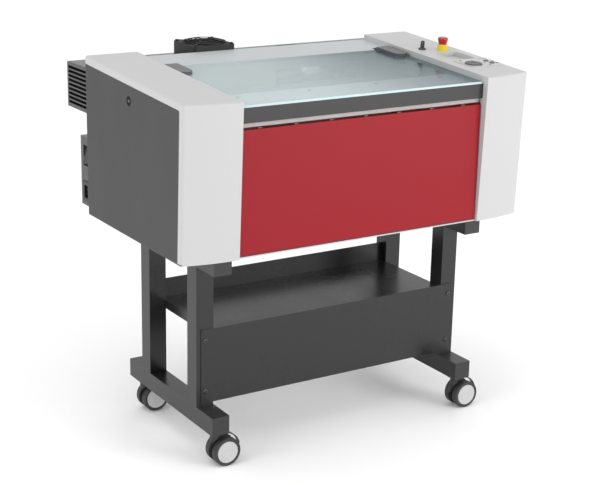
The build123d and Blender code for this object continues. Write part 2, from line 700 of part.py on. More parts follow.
# ---------------------------------------------------------------- lid, in the sloping top's own frame
def lid_glass():
    """The tinted pane, with its edges eased and a hole for the strut's bolt."""
    half = GLASS_WIDTH / 2
    pane = block((-half, half), (GLASS_FRONT, GLASS_BACK), (GLASS_BOTTOM, -LID_DROP))
    pane = chamfer(pane.edges().group_by(Axis.Z)[-1], GLASS / 8)
    return pane - disc(STRUT_BOLT_X, STRUT_LID_S, GLASS_BOTTOM - 1, 0, STRUT_BOLT_R + GAP)


def lid_hinge_arms():
    """Two straps on the glass that curve down to knuckles on the hinge axis."""
    strap = (-LID_DROP, ARM - LID_DROP)
    half = ARM_WIDTH / 2
    back = HINGE_S - HINGE_KNUCKLE_R - 1
    arm = block((ARM_X - half, ARM_X + half), (ARM_FRONT + half, back), strap)
    arm += disc(ARM_X, ARM_FRONT + half, *strap, half)
    knuckle_half = ARM_KNUCKLE_WIDTH / 2
    knuckle_x = (ARM_X - knuckle_half, ARM_X + knuckle_half)
    knuckle = bar((knuckle_x[0], HINGE_S, HINGE_H), (knuckle_x[1], HINGE_S, HINGE_H), HINGE_KNUCKLE_R)
    neck_top = HINGE_S - HINGE_KNUCKLE_R / 2
    neck = plate([(back - ARM, strap[0]), (back, strap[0]), (HINGE_S, HINGE_H), (HINGE_S, HINGE_H + HINGE_KNUCKLE_R),
                  (neck_top, strap[1] - 1), (back, strap[1]), (back - ARM, strap[1])],
                 Plane.YZ, ARM_KNUCKLE_WIDTH)
    arm += knuckle + Pos(ARM_X, 0, 0) * neck
    arm -= bar((knuckle_x[0] - 1, HINGE_S, HINGE_H), (knuckle_x[1] + 1, HINGE_S, HINGE_H), HINGE_PIN_R + RUN)
    return Compound([arm.solid(), mirrored(arm).solid()])


def lid_hinge_brackets():
    """Two forked brackets under the rear deck, each with its riveted pin."""
    knuckle_half = ARM_KNUCKLE_WIDTH / 2 + GAP
    flange_top = -LID_DROP - SHEET
    outer = knuckle_half + HINGE_EAR
    bracket = block((ARM_X - outer, ARM_X + outer), (DECK_NOTCH_BACK, BRACKET_BACK),
                    (flange_top - BRACKET_FLANGE, flange_top))
    for side in (-1, 1):
        middle = ARM_X + side * (knuckle_half + HINGE_EAR / 2)
        ear_x = (middle - HINGE_EAR / 2, middle + HINGE_EAR / 2)
        bracket += bar((ear_x[0], HINGE_S, HINGE_H), (ear_x[1], HINGE_S, HINGE_H), HINGE_KNUCKLE_R)
        bracket += block(ear_x, (HINGE_S, BRACKET_BACK), (HINGE_H - HINGE_KNUCKLE_R, flange_top))
    bracket += bar((ARM_X - outer, HINGE_S, HINGE_H), (ARM_X + outer, HINGE_S, HINGE_H), HINGE_PIN_R)
    return Compound([bracket.solid(), mirrored(bracket).solid()])


def strut_lid_bracket():
    """The angle under the glass that the strut's upper end meets, and its bolt."""
    outer = STRUT_X - STRUT_EYE_WIDTH / 2 - GAP
    foot = (GLASS_BOTTOM - SHEET, GLASS_BOTTOM)
    half = STRUT_LID_DROP
    s = (STRUT_LID_S - half, STRUT_LID_S + half)
    bracket = block((STRUT_BOLT_X - STRUT_BOLT_HEAD_R * 1.5, outer), s, foot)
    web = block((outer - STRUT_BRACKET, outer), s, (GLASS_BOTTOM - STRUT_LID_DROP, GLASS_BOTTOM))
    web += bar((outer - STRUT_BRACKET, STRUT_LID_S, GLASS_BOTTOM - STRUT_LID_DROP),
               (outer, STRUT_LID_S, GLASS_BOTTOM - STRUT_LID_DROP), half)
    bracket += web - block((0, FAR), (-FAR, FAR), (GLASS_BOTTOM, FAR))
    bracket += disc(STRUT_BOLT_X, STRUT_LID_S, foot[1], -LID_DROP, STRUT_BOLT_R)
    head = disc(STRUT_BOLT_X, STRUT_LID_S, -LID_DROP, STRUT_BOLT_HEAD - LID_DROP, STRUT_BOLT_HEAD_R)
    return bracket + fillet(head.edges().sort_by(Axis.Z)[-1], STRUT_BOLT_HEAD / 3)


def front_deck():
    """The pale shelf just under the front of the glass, with a folded lip and four screw holes."""
    half = CHAMBER_WIDTH / 2 - GAP
    top = GLASS_BOTTOM - FRONT_DECK_GAP
    s = (FRONT_DECK_FRONT, FRONT_DECK_BACK)
    deck = block((-half, half), s, (top - SHEET, top))
    deck += block((-half, half), (s[1] - SHEET, s[1]), (top - FRONT_DECK_LIP, top))
    for x in deck_screw_places():
        deck -= disc(x, DECK_SCREW_S, top - SHEET - 1, top + 1, DECK_SCREW_R / 2 + GAP)
    return deck


def deck_screw_places():
    """The screws' distances from the middle, left to right."""
    inner, outer = DECK_SCREW_X
    return [-outer, -inner, inner, outer]


def deck_screws():
    """Round-headed screws in the front deck."""
    top = GLASS_BOTTOM - FRONT_DECK_GAP
    screws = []
    for x in deck_screw_places():
        head = disc(x, DECK_SCREW_S, top, top + DECK_SCREW_HEAD, DECK_SCREW_R)
        head = fillet(head.edges().sort_by(Axis.Z)[-1], DECK_SCREW_HEAD / 2)
        screws.append(head + disc(x, DECK_SCREW_S, top - SHEET * 3, top, DECK_SCREW_R / 2))
    return Compound([s.solid() for s in screws])


def rear_deck():
    """The pale sheet behind the glass, notched round the hinges."""
    half = CHAMBER_WIDTH / 2 - GAP
    low = (-LID_DROP - SHEET, -LID_DROP)
    back = BODY_DEPTH / math.cos(math.radians(TOP_ANGLE)) - 1
    deck = block((-half, half), (REAR_DECK_FRONT, back), low)
    notch_half = DECK_NOTCH_WIDTH / 2
    for x in (-ARM_X, ARM_X):
        deck -= block((x - notch_half, x + notch_half), (REAR_DECK_FRONT - 1, DECK_NOTCH_BACK), (-FAR, FAR))
    return deck


# ---------------------------------------------------------------- gas strut, in the cabinet's frame
def strut_ends():
    """The strut's lower and upper pivots, with the unit direction from one to the other."""
    lower = Vector(STRUT_X, STRUT_LOW_Y, STRUT_LOW_Z)
    upper = (SLOPE * Pos(STRUT_X, STRUT_LID_S, GLASS_BOTTOM - STRUT_LID_DROP)).position
    return lower, upper, (upper - lower).normalized()


def eye(centre, left, right, radius):
    """A strut's end fitting, lying across the machine about a pivot."""
    return bar((left, centre.Y, centre.Z), (right, centre.Y, centre.Z), radius)


def strut_cylinder():
    """The strut's tube, with its lower eye and the stud that reaches the pod's wall."""
    lower, upper, along = strut_ends()
    half = STRUT_EYE_WIDTH / 2
    neck = STRUT_R * 1.5
    top = (upper - lower).length - STRUT_END_GAP
    cylinder = bar(lower + along * neck, lower + along * top, STRUT_R)
    cylinder += bar(lower, lower + along * neck, STRUT_ROD_R)
    cylinder += eye(lower, STRUT_X - half, STRUT_X + half, STRUT_R)
    cylinder += eye(lower, STRUT_X, POD_X - GAP, STRUT_ROD_R)
    return cylinder - bar(lower + along * (neck + SHEET), lower + along * (top + 1), STRUT_ROD_R + RUN)


def strut_rod():
    """The strut's sliding rod, whose end fitting lies beside the lid's bracket."""
    lower, upper, along = strut_ends()
    half = STRUT_EYE_WIDTH / 2
    rod = bar(lower + along * (STRUT_R * 1.5 + SHEET * 2), upper, STRUT_ROD_R)
    return rod + eye(upper, STRUT_X - half, STRUT_X + half, STRUT_R - GAP)


# ---------------------------------------------------------------- controls, in the sloping top's frame
def keypad_plate():
    """The raised plate round the pad and buttons."""
    panel = block(KEYPAD_X, KEYPAD_S, (0, KEYPAD))
    panel = fillet(panel.edges().filter_by(Axis.Z), KEYPAD_CORNER_R)
    panel -= disc(JOG_X, JOG_S, -1, KEYPAD + 1, JOG_R + BUTTON_GAP)
    for s in (START_S, PAUSE_S):
        panel -= disc(BUTTON_X, s, -1, KEYPAD + 1, BUTTON_R + BUTTON_GAP)
    return panel


def jog_pad():
    """The round four-way pad, dished on top."""
    top = BUTTON_REST + BUTTON_HEIGHT + 1
    pad = disc(JOG_X, JOG_S, BUTTON_REST, top, JOG_R)
    pad = fillet(pad.edges().sort_by(Axis.Z)[-1], 1.5)
    dish_r = JOG_R * 3
    return pad - Pos(JOG_X, JOG_S, top - 1 + dish_r) * Sphere(dish_r)


def push_button(s):
    """A round button in the plate."""
    button = disc(BUTTON_X, s, BUTTON_REST, BUTTON_REST + BUTTON_HEIGHT, BUTTON_R)
    return fillet(button.edges().sort_by(Axis.Z)[-1], 1)


def key_switch_base():
    """The key switch's body: a collar on the pod and a barrel below it."""
    base = disc(KEY_X, KEY_S, 0, KEY_BASE, KEY_BASE_R)
    base = chamfer(base.edges().sort_by(Axis.Z)[-1], KEY_BASE / 3)
    base += disc(KEY_X, KEY_S, -SWITCH_BARREL, 0, SWITCH_BARREL_R)
    return base - disc(KEY_X, KEY_S, KEY_BASE - KEY_BLADE - 1, KEY_BASE + 1, KEY_BLADE_R + RUN)


def key():
    """The key: the turning barrel with the key's flat bow standing on it."""
    half = KEY_BOW_WIDTH / 2
    turned = disc(KEY_X, KEY_S, KEY_BASE - KEY_BLADE, KEY_BASE + GAP, KEY_BLADE_R)
    bow = block((KEY_X - half, KEY_X + half), (KEY_S - KEY_BOW / 2, KEY_S + KEY_BOW / 2),
                (KEY_BASE + GAP, KEY_HEIGHT))
    bow = fillet(bow.edges().filter_by(Axis.Y).group_by(Axis.Z)[-1], half - 1)
    hole_height = KEY_HEIGHT - half
    bow -= bar((KEY_X, KEY_S - KEY_BOW, hole_height), (KEY_X, KEY_S + KEY_BOW, hole_height), half / 3)
    return turned + bow


def estop_base():
    """The stop button's yellow collar and the barrel through the pod's top."""
    base = disc(STOP_X, STOP_S, 0, STOP_BASE, STOP_BASE_R)
    base = chamfer(base.edges().sort_by(Axis.Z)[-1], 1)
    base += disc(STOP_X, STOP_S, -SWITCH_BARREL, 0, STOP_BARREL_R)
    return base - disc(STOP_X, STOP_S, STOP_BASE - STOP_NECK, STOP_BASE + 1, STOP_NECK_R + RUN)


def estop_button():
    """The red mushroom cap on its sliding neck."""
    under = STOP_BASE + STOP_TRAVEL
    cap = Pos(STOP_X, STOP_S, under + STOP_CAP / 2) * Cone(STOP_CAP_WAIST_R, STOP_CAP_R, STOP_CAP)
    cap = fillet(cap.edges().sort_by(Axis.Z)[-1], STOP_CAP / 3)
    return cap + disc(STOP_X, STOP_S, under - STOP_NECK + GAP, under + 1, STOP_NECK_R)


# ---------------------------------------------------------------- rear housings
def laser_housing():
    """The full-width box across the back: louvred ends, an opening under the fan and tube saddles."""
    half = HOUSING_WIDTH / 2
    housing = block((-half, half), (BODY_DEPTH, HOUSING_BACK), (HOUSING_BOTTOM, HOUSING_TOP))
    housing = fillet(housing.edges().filter_by(Axis.X).sort_by(lambda e: e.center().Y + e.center().Z)[-1],
                     HOUSING_EDGE_R)
    housing -= block((SHEET - half, half - SHEET), (BODY_DEPTH + SHEET, HOUSING_BACK - SHEET),
                     (HOUSING_BOTTOM + SHEET, HOUSING_TOP - SHEET))
    tube_y = BODY_DEPTH + HOUSING_DEPTH / 2
    tube_z = SPIGOT_Z
    for x in (-TUBE_SADDLE_X, TUBE_SADDLE_X):
        saddle = block((x - TUBE_SADDLE / 2, x + TUBE_SADDLE / 2),
                       (tube_y - LASER_TUBE_R * 0.8, tube_y + LASER_TUBE_R * 0.8),
                       (HOUSING_BOTTOM + SHEET, tube_z - LASER_TUBE_R / 2))
        housing += saddle - bar((-half, tube_y, tube_z), (half, tube_y, tube_z), LASER_TUBE_R + GAP)
    louvre_y = (tube_y - LOUVRE_LENGTH / 2, tube_y + LOUVRE_LENGTH / 2)
    for i in range(LOUVRES):
        z = (HOUSING_BOTTOM + HOUSING_TOP) / 2 + (i - (LOUVRES - 1) / 2) * LOUVRE_PITCH
        housing -= block((-FAR, FAR), louvre_y, (z - LOUVRE_HEIGHT / 2, z + LOUVRE_HEIGHT / 2)) - \
            block((SHEET * 2 - half, half - SHEET * 2), (0, FAR), (0, FAR))
    housing -= disc(FAN_X, tube_y, HOUSING_TOP - SHEET - 1, HOUSING_TOP + 1, FAN_BLADE_R)
    housing -= bar((SPIGOT_X, HOUSING_BACK - SHEET - 1, SPIGOT_Z), (SPIGOT_X, HOUSING_BACK + 1, SPIGOT_Z),
                   SPIGOT_R - SHEET)
    return housing - vent(BODY_DEPTH)


def laser_tube():
    """The sealed glass tube with its two end caps."""
    tube_y = BODY_DEPTH + HOUSING_DEPTH / 2
    half = LASER_TUBE_LENGTH / 2
    tube = bar((-half, tube_y, SPIGOT_Z), (half, tube_y, SPIGOT_Z), LASER_TUBE_R)
    for side in (-1, 1):
        tube += bar((side * half, tube_y, SPIGOT_Z), (side * (half + LASER_TUBE_R), tube_y, SPIGOT_Z),
                    LASER_TUBE_R / 2)
    return tube


def fan_frame():
    """The fan's square frame, with four struts that carry the motor's bearing."""
    half = FAN_SIZE / 2
    frame = block((-half, half), (-half, half), (0, FAN_HEIGHT))
    frame = fillet(frame.edges().filter_by(Axis.Z), FAN_CORNER_R)
    frame -= disc(0, 0, -1, FAN_HEIGHT + 1, FAN_BORE_R)
    frame += disc(0, 0, 0, FAN_STRUT, FAN_HUB_R)
    strut = block((-FAN_BORE_R - 1, FAN_BORE_R + 1), (-FAN_STRUT / 2, FAN_STRUT / 2), (0, FAN_STRUT))
    frame += strut + Rot(0, 0, 90) * strut
    frame -= disc(0, 0, -1, FAN_STRUT + 1, FAN_SHAFT_R + RUN)
    for x in (-FAN_SCREW_PITCH / 2, FAN_SCREW_PITCH / 2):
        for y in (-FAN_SCREW_PITCH / 2, FAN_SCREW_PITCH / 2):
            frame -= disc(x, y, -1, FAN_HEIGHT + 1, FAN_SCREW_R)
    return frame


def fan_rotor():
    """The hub, its shaft and the pitched blades."""
    low = FAN_STRUT + GAP
    high = FAN_HEIGHT - 2
    middle = (low + high) / 2
    rotor = disc(0, 0, low, high, FAN_HUB_R) + disc(0, 0, 0.5, low, FAN_SHAFT_R)
    chord = (high - low) * 1.3
    span = FAN_BLADE_R - FAN_HUB_R + 4
    blade = Pos(FAN_HUB_R - 2 + span / 2, 0, middle) * Rot(40, 0, 0) * Box(span, chord, FAN_BLADE)
    sweep_space = disc(0, 0, low + 1, high - 1, FAN_BLADE_R)
    blade = blade & sweep_space
    for i in range(FAN_BLADES):
        rotor += Rot(0, 0, i * 360 / FAN_BLADES) * blade
    return rotor


def fan_guard():
    """The domed wire guard: rings on two crossing ribs that run out to four feet."""
    foot_reach = FAN_SCREW_PITCH / math.sqrt(2)
    rise = GUARD_RISE - GUARD_WIRE
    low = GUARD_WIRE * 0.75
    guard = disc(0, 0, rise, rise + GUARD_WIRE, GUARD_R / 8)
    half_wire = GUARD_WIRE / 2
    for i in range(GUARD_RINGS):
        r = GUARD_R * (i + 1) / GUARD_RINGS
        height = low + (rise - low) * (1 - (r / GUARD_R) ** 2)
        ring = disc(0, 0, height, height + GUARD_WIRE, r + half_wire)
        guard += ring - disc(0, 0, 0, GUARD_RISE + 1, r - half_wire)
    arch = ThreePointArc((-GUARD_R, low), (0, rise), (GUARD_R, low))
    crown = ThreePointArc((-GUARD_R, low + GUARD_WIRE), (0, rise + GUARD_WIRE), (GUARD_R, low + GUARD_WIRE))
    ends = [Line((x, low), (x, low + GUARD_WIRE)) for x in (-GUARD_R, GUARD_R)]
    band = Rot(90, 0, 0) * make_face(Curve() + arch + crown + ends[0] + ends[1])
    rib = extrude(band, amount=half_wire, both=True)
    for side in (-1, 1):
        reach = sorted((side * (GUARD_R - 1), side * foot_reach))
        rib += block(reach, (-half_wire, half_wire), (low, low + GUARD_WIRE))
        rib += disc(side * foot_reach, 0, 0, low + GUARD_WIRE, FAN_SCREW_R * 1.8)
    return guard + Rot(0, 0, 45) * rib + Rot(0, 0, 135) * rib


def exhaust_spigot():
    """The round duct collar with its flange on the housing's back."""
    def around(low, high, radius):
        return bar((SPIGOT_X, low, SPIGOT_Z), (SPIGOT_X, high, SPIGOT_Z), radius)
    back = HOUSING_BACK + SPIGOT_LENGTH
    spigot = around(HOUSING_BACK, HOUSING_BACK + SHEET, SPIGOT_FLANGE_R)
    spigot += around(HOUSING_BACK, back, SPIGOT_R)
    return spigot - around(HOUSING_BACK - 1, back + 1, SPIGOT_R - SHEET)


def connector_box():
    """The smaller box low on the back, cut for the mains inlet and with a cradle for the rocker."""
    x = CONNECTOR_X
    y = (BODY_DEPTH, BODY_DEPTH + CONNECTOR_DEPTH)
    box = block(x, y, (0, CONNECTOR_HEIGHT))
    box -= block((x[0] + SHEET, x[1] - SHEET), (y[0] + SHEET, y[1] - SHEET), (SHEET, CONNECTOR_HEIGHT - SHEET))
    deep = (x[0] - 1, x[0] + ROCKER_INSET * 3)
    around_y = (SWITCH_Y[0] - SHEET, SWITCH_Y[1] + SHEET)
    around_z = (SWITCH_Z[0] - SHEET, SWITCH_Z[1] + SHEET)
    box += block((x[0], deep[1]), around_y, around_z)
    box -= block((deep[0], deep[1] + 1), SWITCH_Y, SWITCH_Z)
    box -= block(deep, SWITCH_Y, INLET_Z)
    pivot_x, pivot_z = rocker_pivot()
    return box - bar((pivot_x, around_y[0] - 1, pivot_z), (pivot_x, around_y[1] + 1, pivot_z), ROCKER_PIN_R + RUN)


def rocker_pivot():
    """Where the rocker turns, as distances across and up."""
    return CONNECTOR_X[0] + ROCKER_INSET, (SWITCH_Z[0] + SWITCH_Z[1]) / 2


def power_switch():
    """The rocker, tipped to its off side, with a pin at each end of its axis."""
    pivot_x, pivot_z = rocker_pivot()
    height = SWITCH_Z[1] - SWITCH_Z[0]
    reach = height / 2 - ROCKER_INSET
    y = (SWITCH_Y[0] + GAP, SWITCH_Y[1] - GAP)
    half = ROCKER_INSET * 0.8
    rocker = plate([(-half, -reach), (half, -reach), (half, reach), (-half, reach), (SHEET / 2 - half, 0)],
                   Plane.XZ, y[1] - y[0])
    rocker = Pos(pivot_x, (y[0] + y[1]) / 2, pivot_z) * Rot(0, ROCKER_TILT, 0) * rocker
    return rocker + bar((pivot_x, SWITCH_Y[0] - SHEET, pivot_z), (pivot_x, SWITCH_Y[1] + SHEET, pivot_z), ROCKER_PIN_R)


def mains_inlet():
    """The flanged three-pin inlet."""
    face = CONNECTOR_X[0]
    z_middle = (INLET_Z[0] + INLET_Z[1]) / 2
    y_middle = (SWITCH_Y[0] + SWITCH_Y[1]) / 2
    inlet = block((face - SHEET, face), (SWITCH_Y[0] - SHEET * 2, SWITCH_Y[1] + SHEET * 2),
                  (INLET_Z[0] - SHEET * 2, INLET_Z[1] + SHEET * 2))
    inlet += block((face, face + SOCKET_DEPTH + SHEET), (SWITCH_Y[0] + GAP, SWITCH_Y[1] - GAP),
                   (INLET_Z[0] + GAP, INLET_Z[1] - GAP))
    inlet -= block((face - SHEET - 1, face + SOCKET_DEPTH), (SWITCH_Y[0] + SHEET * 2, SWITCH_Y[1] - SHEET * 2),
                   (INLET_Z[0] + SHEET * 3, INLET_Z[1] - SHEET * 3))
    pin = SHEET / 2
    for y, z in ((-5, -7), (0, 7), (5, -7)):
        inlet += block((face + SHEET, face + SOCKET_DEPTH), (y_middle + y - pin, y_middle + y + pin),
                       (z_middle + z - SHEET, z_middle + z + SHEET))
    return inlet


# ---------------------------------------------------------------- inside the chamber
def work_table():
    """The lifting table: a flat sheet folded down at its edges, bossed for its posts and screw."""
    half = TABLE_WIDTH / 2
    table = block((-half, half), TABLE_Y, (TABLE_TOP - TABLE, TABLE_TOP))
    table -= block((SHEET - half, half - SHEET), (TABLE_Y[0] + SHEET, TABLE_Y[1] - SHEET),
                   (TABLE_TOP - TABLE - 1, TABLE_TOP - PAN))
    for x, y, radius in table_guide_places():
        table += disc(x, y, TABLE_TOP - TABLE, TABLE_TOP, radius + PAN) & block((-half, half), TABLE_Y, (0, FAR))
    for x, y, radius in table_guide_places():
        table -= disc(x, y, 0, TABLE_TOP + 1, radius + RUN)
    return table


def table_guide_places():
    """Each post and the lead screw: its place in plan and its radius."""
    posts = [(x, y, POST_R) for x in (-POST_X, POST_X) for y in POST_Y]
    return posts + [(0, SCREW_Y, SCREW_R)]


def table_guide_posts():
    """Four fixed posts on footed bases, and the lead screw's lower bearing."""
    pieces = []
    for x in (-POST_X, POST_X):
        for y in POST_Y:
            pieces.append(disc(x, y, PAN, POST_TOP, POST_R) + disc(x, y, PAN, PAN + PAN, POST_FOOT_R))
    pieces.append(disc(0, SCREW_Y, PAN, PAN * 3, POST_FOOT_R) - disc(0, SCREW_Y, PAN - 1, FAR, SCREW_R + RUN))
    return Compound([p.solid() for p in pieces])


def table_lead_screw():
    """The lead screw, with a drive pulley below the table's lowest place."""
    pulley = (PAN * 3 + GAP, PAN * 3 + PULLEY_WIDTH)
    return disc(0, SCREW_Y, PAN + GAP, POST_TOP, SCREW_R) + disc(0, SCREW_Y, *pulley, PULLEY_R)


def gantry_rails():
    """A rail on each side from the rear wall to a leg at the front."""
    x = (RAIL_X - RAIL_WIDTH / 2, RAIL_X + RAIL_WIDTH / 2)
    rail = block(x, (RAIL_FRONT, BODY_DEPTH - SHEET), (RAIL_TOP - RAIL_HEIGHT, RAIL_TOP))
    rail += block(x, (RAIL_FRONT, RAIL_FRONT + RAIL_LEG), (PAN, RAIL_TOP))
    rail -= bar((x[0] - 1, SHAFT_Y, SHAFT_Z), (x[1] + 1, SHAFT_Y, SHAFT_Z), SHAFT_R + RUN)
    return Compound([rail.solid(), mirrored(rail).solid()])


def gantry_beam():
    """The hollow beam that runs on the rails."""
    half = RAIL_X + RAIL_WIDTH / 2
    z = (RAIL_TOP + GAP, RAIL_TOP + GAP + BEAM_HEIGHT)
    beam = block((-half, half), BEAM_Y, z)
    return beam - block((-half - 1, half + 1), (BEAM_Y[0] + BEAM_WALL, BEAM_Y[1] - BEAM_WALL),
                        (z[0] + BEAM_WALL, z[1] - BEAM_WALL))


def laser_head():
    """The head in front of the beam, hooked over its top, with a tapered nozzle."""
    x = (HEAD_X - HEAD_WIDTH / 2, HEAD_X + HEAD_WIDTH / 2)
    y = (BEAM_Y[0] - GAP - HEAD_DEPTH, BEAM_Y[0] - GAP)
    head = block(x, y, (HEAD_BOTTOM, HEAD_TOP))
    head = chamfer(head.edges().filter_by(Axis.Z).group_by(Axis.Y)[0], HEAD_HOOK)
    over = RAIL_TOP + GAP + BEAM_HEIGHT + GAP
    head += block(x, (y[1] - 1, BEAM_Y[1]), (over, over + HEAD_HOOK))
    nozzle = Cone(NOZZLE_R / 3, NOZZLE_R, HEAD_BOTTOM - NOZZLE_BOTTOM,
                  align=(Align.CENTER, Align.CENTER, Align.MIN))
    return head + Pos(HEAD_X, (y[0] + y[1]) / 2, NOZZLE_BOTTOM) * nozzle


def drive_shaft():
    """The cross shaft through both rails, with a belt pulley beside each."""
    half = RAIL_X + RAIL_WIDTH / 2 - 1
    shaft = bar((-half, SHAFT_Y, SHAFT_Z), (half, SHAFT_Y, SHAFT_Z), SHAFT_R)
    outer = RAIL_X - RAIL_WIDTH / 2 - GAP
    for side in (-1, 1):
        shaft += bar((side * (outer - PULLEY_WIDTH), SHAFT_Y, SHAFT_Z), (side * outer, SHAFT_Y, SHAFT_Z), PULLEY_R)
    return shaft


def power_supply():
    """The boxed supply in the left pod."""
    supply = block(SUPPLY_X, SUPPLY_Y, (PAN, PAN + SUPPLY_HEIGHT))
    return chamfer(supply.edges().group_by(Axis.Z)[-1], SHEET)


def control_board():
    """The circuit board in the right pod on four standoffs."""
    low = PAN + BOARD_STANDOFF
    board = block(BOARD_X, BOARD_Y, (low, low + SHEET))
    for x in (BOARD_X[0] + SHEET * 3, BOARD_X[1] - SHEET * 3):
        for y in (BOARD_Y[0] + SHEET * 3, BOARD_Y[1] - SHEET * 3):
            board += disc(x, y, PAN, low, SHEET * 1.5)
    return board


# ---------------------------------------------------------------- every piece, written in place
def main():
    """Build each piece and write it."""
    os.makedirs("parts", exist_ok=True)
    frame = stand_frame()
    save("right_stand_frame", FLOOR_FRAME * frame)
    save("left_stand_frame", FLOOR_FRAME * mirrored(frame))
    for make in (tube_end_caps, stand_front_panel, stand_bolts, stand_shelf):
        save(make.__name__, FLOOR_FRAME * make())
    places = caster_places()
    save("caster_plates", Compound([(FLOOR_FRAME * place * caster_plate()).solid() for place in places.values()]))
    for corner, place in places.items():
        save(f"caster_fork_{corner}", FLOOR_FRAME * place * caster_fork())
        save(f"caster_wheels_{corner}", FLOOR_FRAME * place * caster_wheels())
    save("right_pod_cover", BODY_FRAME * right_pod_cover())
    save("left_pod_cover", BODY_FRAME * mirrored(pod_cover()))
    save("right_side_panel", BODY_FRAME * right_side_panel())
    save("left_side_panel", BODY_FRAME * left_side_panel())
    for make in (base_pan, side_latch, front_band, light_strip, front_door, door_hinge_pins,
                 strut_cylinder, strut_rod, laser_housing, laser_tube, exhaust_spigot,
                 connector_box, power_switch, mains_inlet, work_table, table_guide_posts,
                 table_lead_screw, gantry_rails, gantry_beam, laser_head, drive_shaft,
                 power_supply, control_board):
        save(make.__name__, BODY_FRAME * make())
    for make in (lid_glass, lid_hinge_arms, lid_hinge_brackets, strut_lid_bracket, front_deck,
                 deck_screws, rear_deck, keypad_plate, jog_pad, key_switch_base, key, estop_base,
                 estop_button):
        save(make.__name__, TOP_FRAME * make())
    save("start_button", TOP_FRAME * push_button(START_S))
    save("pause_button", TOP_FRAME * push_button(PAUSE_S))
    fan_place = BODY_FRAME * Pos(FAN_X, BODY_DEPTH + HOUSING_DEPTH / 2, HOUSING_TOP)
    save("fan_frame", fan_place * fan_frame())
    save("fan_rotor", fan_place * fan_rotor())
    save("fan_guard", fan_place * Pos(0, 0, FAN_HEIGHT) * fan_guard())


main()
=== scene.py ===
# %% [markdown]
# # A laser cutter on its stand
# The construction comes in as a frame of finished parts that already stand where they belong. This
# lesson gives each part its finish, adds the small pieces that a moulder or printer would add, and
# sets up a plain studio. Metres throughout, +Z up, the operator on the -Y side.

# %% Load the frame
import math

import bmesh
import bpy
from mathutils import Matrix, Vector


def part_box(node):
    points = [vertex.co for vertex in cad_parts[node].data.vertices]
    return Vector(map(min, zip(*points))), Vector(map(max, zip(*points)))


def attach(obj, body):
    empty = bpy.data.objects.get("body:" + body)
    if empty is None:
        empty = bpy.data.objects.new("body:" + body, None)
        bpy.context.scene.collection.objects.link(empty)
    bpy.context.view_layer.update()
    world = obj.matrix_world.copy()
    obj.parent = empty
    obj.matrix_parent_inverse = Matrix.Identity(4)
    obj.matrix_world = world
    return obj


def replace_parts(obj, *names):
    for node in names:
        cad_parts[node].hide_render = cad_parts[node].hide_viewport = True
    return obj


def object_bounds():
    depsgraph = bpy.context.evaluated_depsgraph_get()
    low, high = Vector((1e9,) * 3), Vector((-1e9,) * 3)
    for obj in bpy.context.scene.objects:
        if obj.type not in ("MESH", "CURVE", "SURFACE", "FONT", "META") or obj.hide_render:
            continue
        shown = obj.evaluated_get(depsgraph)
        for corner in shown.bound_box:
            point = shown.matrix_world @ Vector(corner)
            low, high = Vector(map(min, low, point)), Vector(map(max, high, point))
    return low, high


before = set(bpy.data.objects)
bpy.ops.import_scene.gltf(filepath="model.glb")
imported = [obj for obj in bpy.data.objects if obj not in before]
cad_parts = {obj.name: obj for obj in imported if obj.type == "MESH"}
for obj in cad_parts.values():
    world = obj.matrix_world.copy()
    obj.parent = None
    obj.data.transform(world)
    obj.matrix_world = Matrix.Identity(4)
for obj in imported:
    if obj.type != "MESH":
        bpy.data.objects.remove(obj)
cad_low, cad_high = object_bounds()
MM = 0.001

# %% [markdown]
# ## Sums written as Python
# A finish is a small sum: some speckle times a strength, plus a base value. Nodes can be wired by hand,
# but the sum is then hard to read back. One class holds a socket and lets ordinary operators add the
# Math nodes, so a finish reads like the formula it is.

# %% A socket that can be added and multiplied
class Value:
    """A number that changes over a surface."""

    def __init__(self, finish, socket):
        self.finish = finish
        self.socket = socket

    def _math(self, operation, first, second=None):
        inputs = {0: first}
        if second is not None:
            inputs[1] = second
        return self.finish.node("ShaderNodeMath", {"operation": operation}, inputs)

    def __add__(self, other):
        return self._math("ADD", self, other)

    __radd__ = __add__

    def __mul__(self, other):
        return self._math("MULTIPLY", self, other)

    __rmul__ = __mul__

    def __sub__(self, other):
        return self._math("SUBTRACT", self, other)

    def __rsub__(self, other):
        return self._math("SUBTRACT", other, self)

    def __truediv__(self, other):
        return self._math("DIVIDE", self, other)

    def __mod__(self, other):
        return self._math("FLOORED_MODULO", self, other)

    def size(self):
        """The number without its sign."""
        return self._math("ABSOLUTE", self)

    def above(self, other):
        """The larger of two numbers."""
        return self._math("MAXIMUM", self, other)

    def __gt__(self, other):
        return self._math("GREATER_THAN", self, other)

    def __lt__(self, other):
        return self._math("LESS_THAN", self, other)


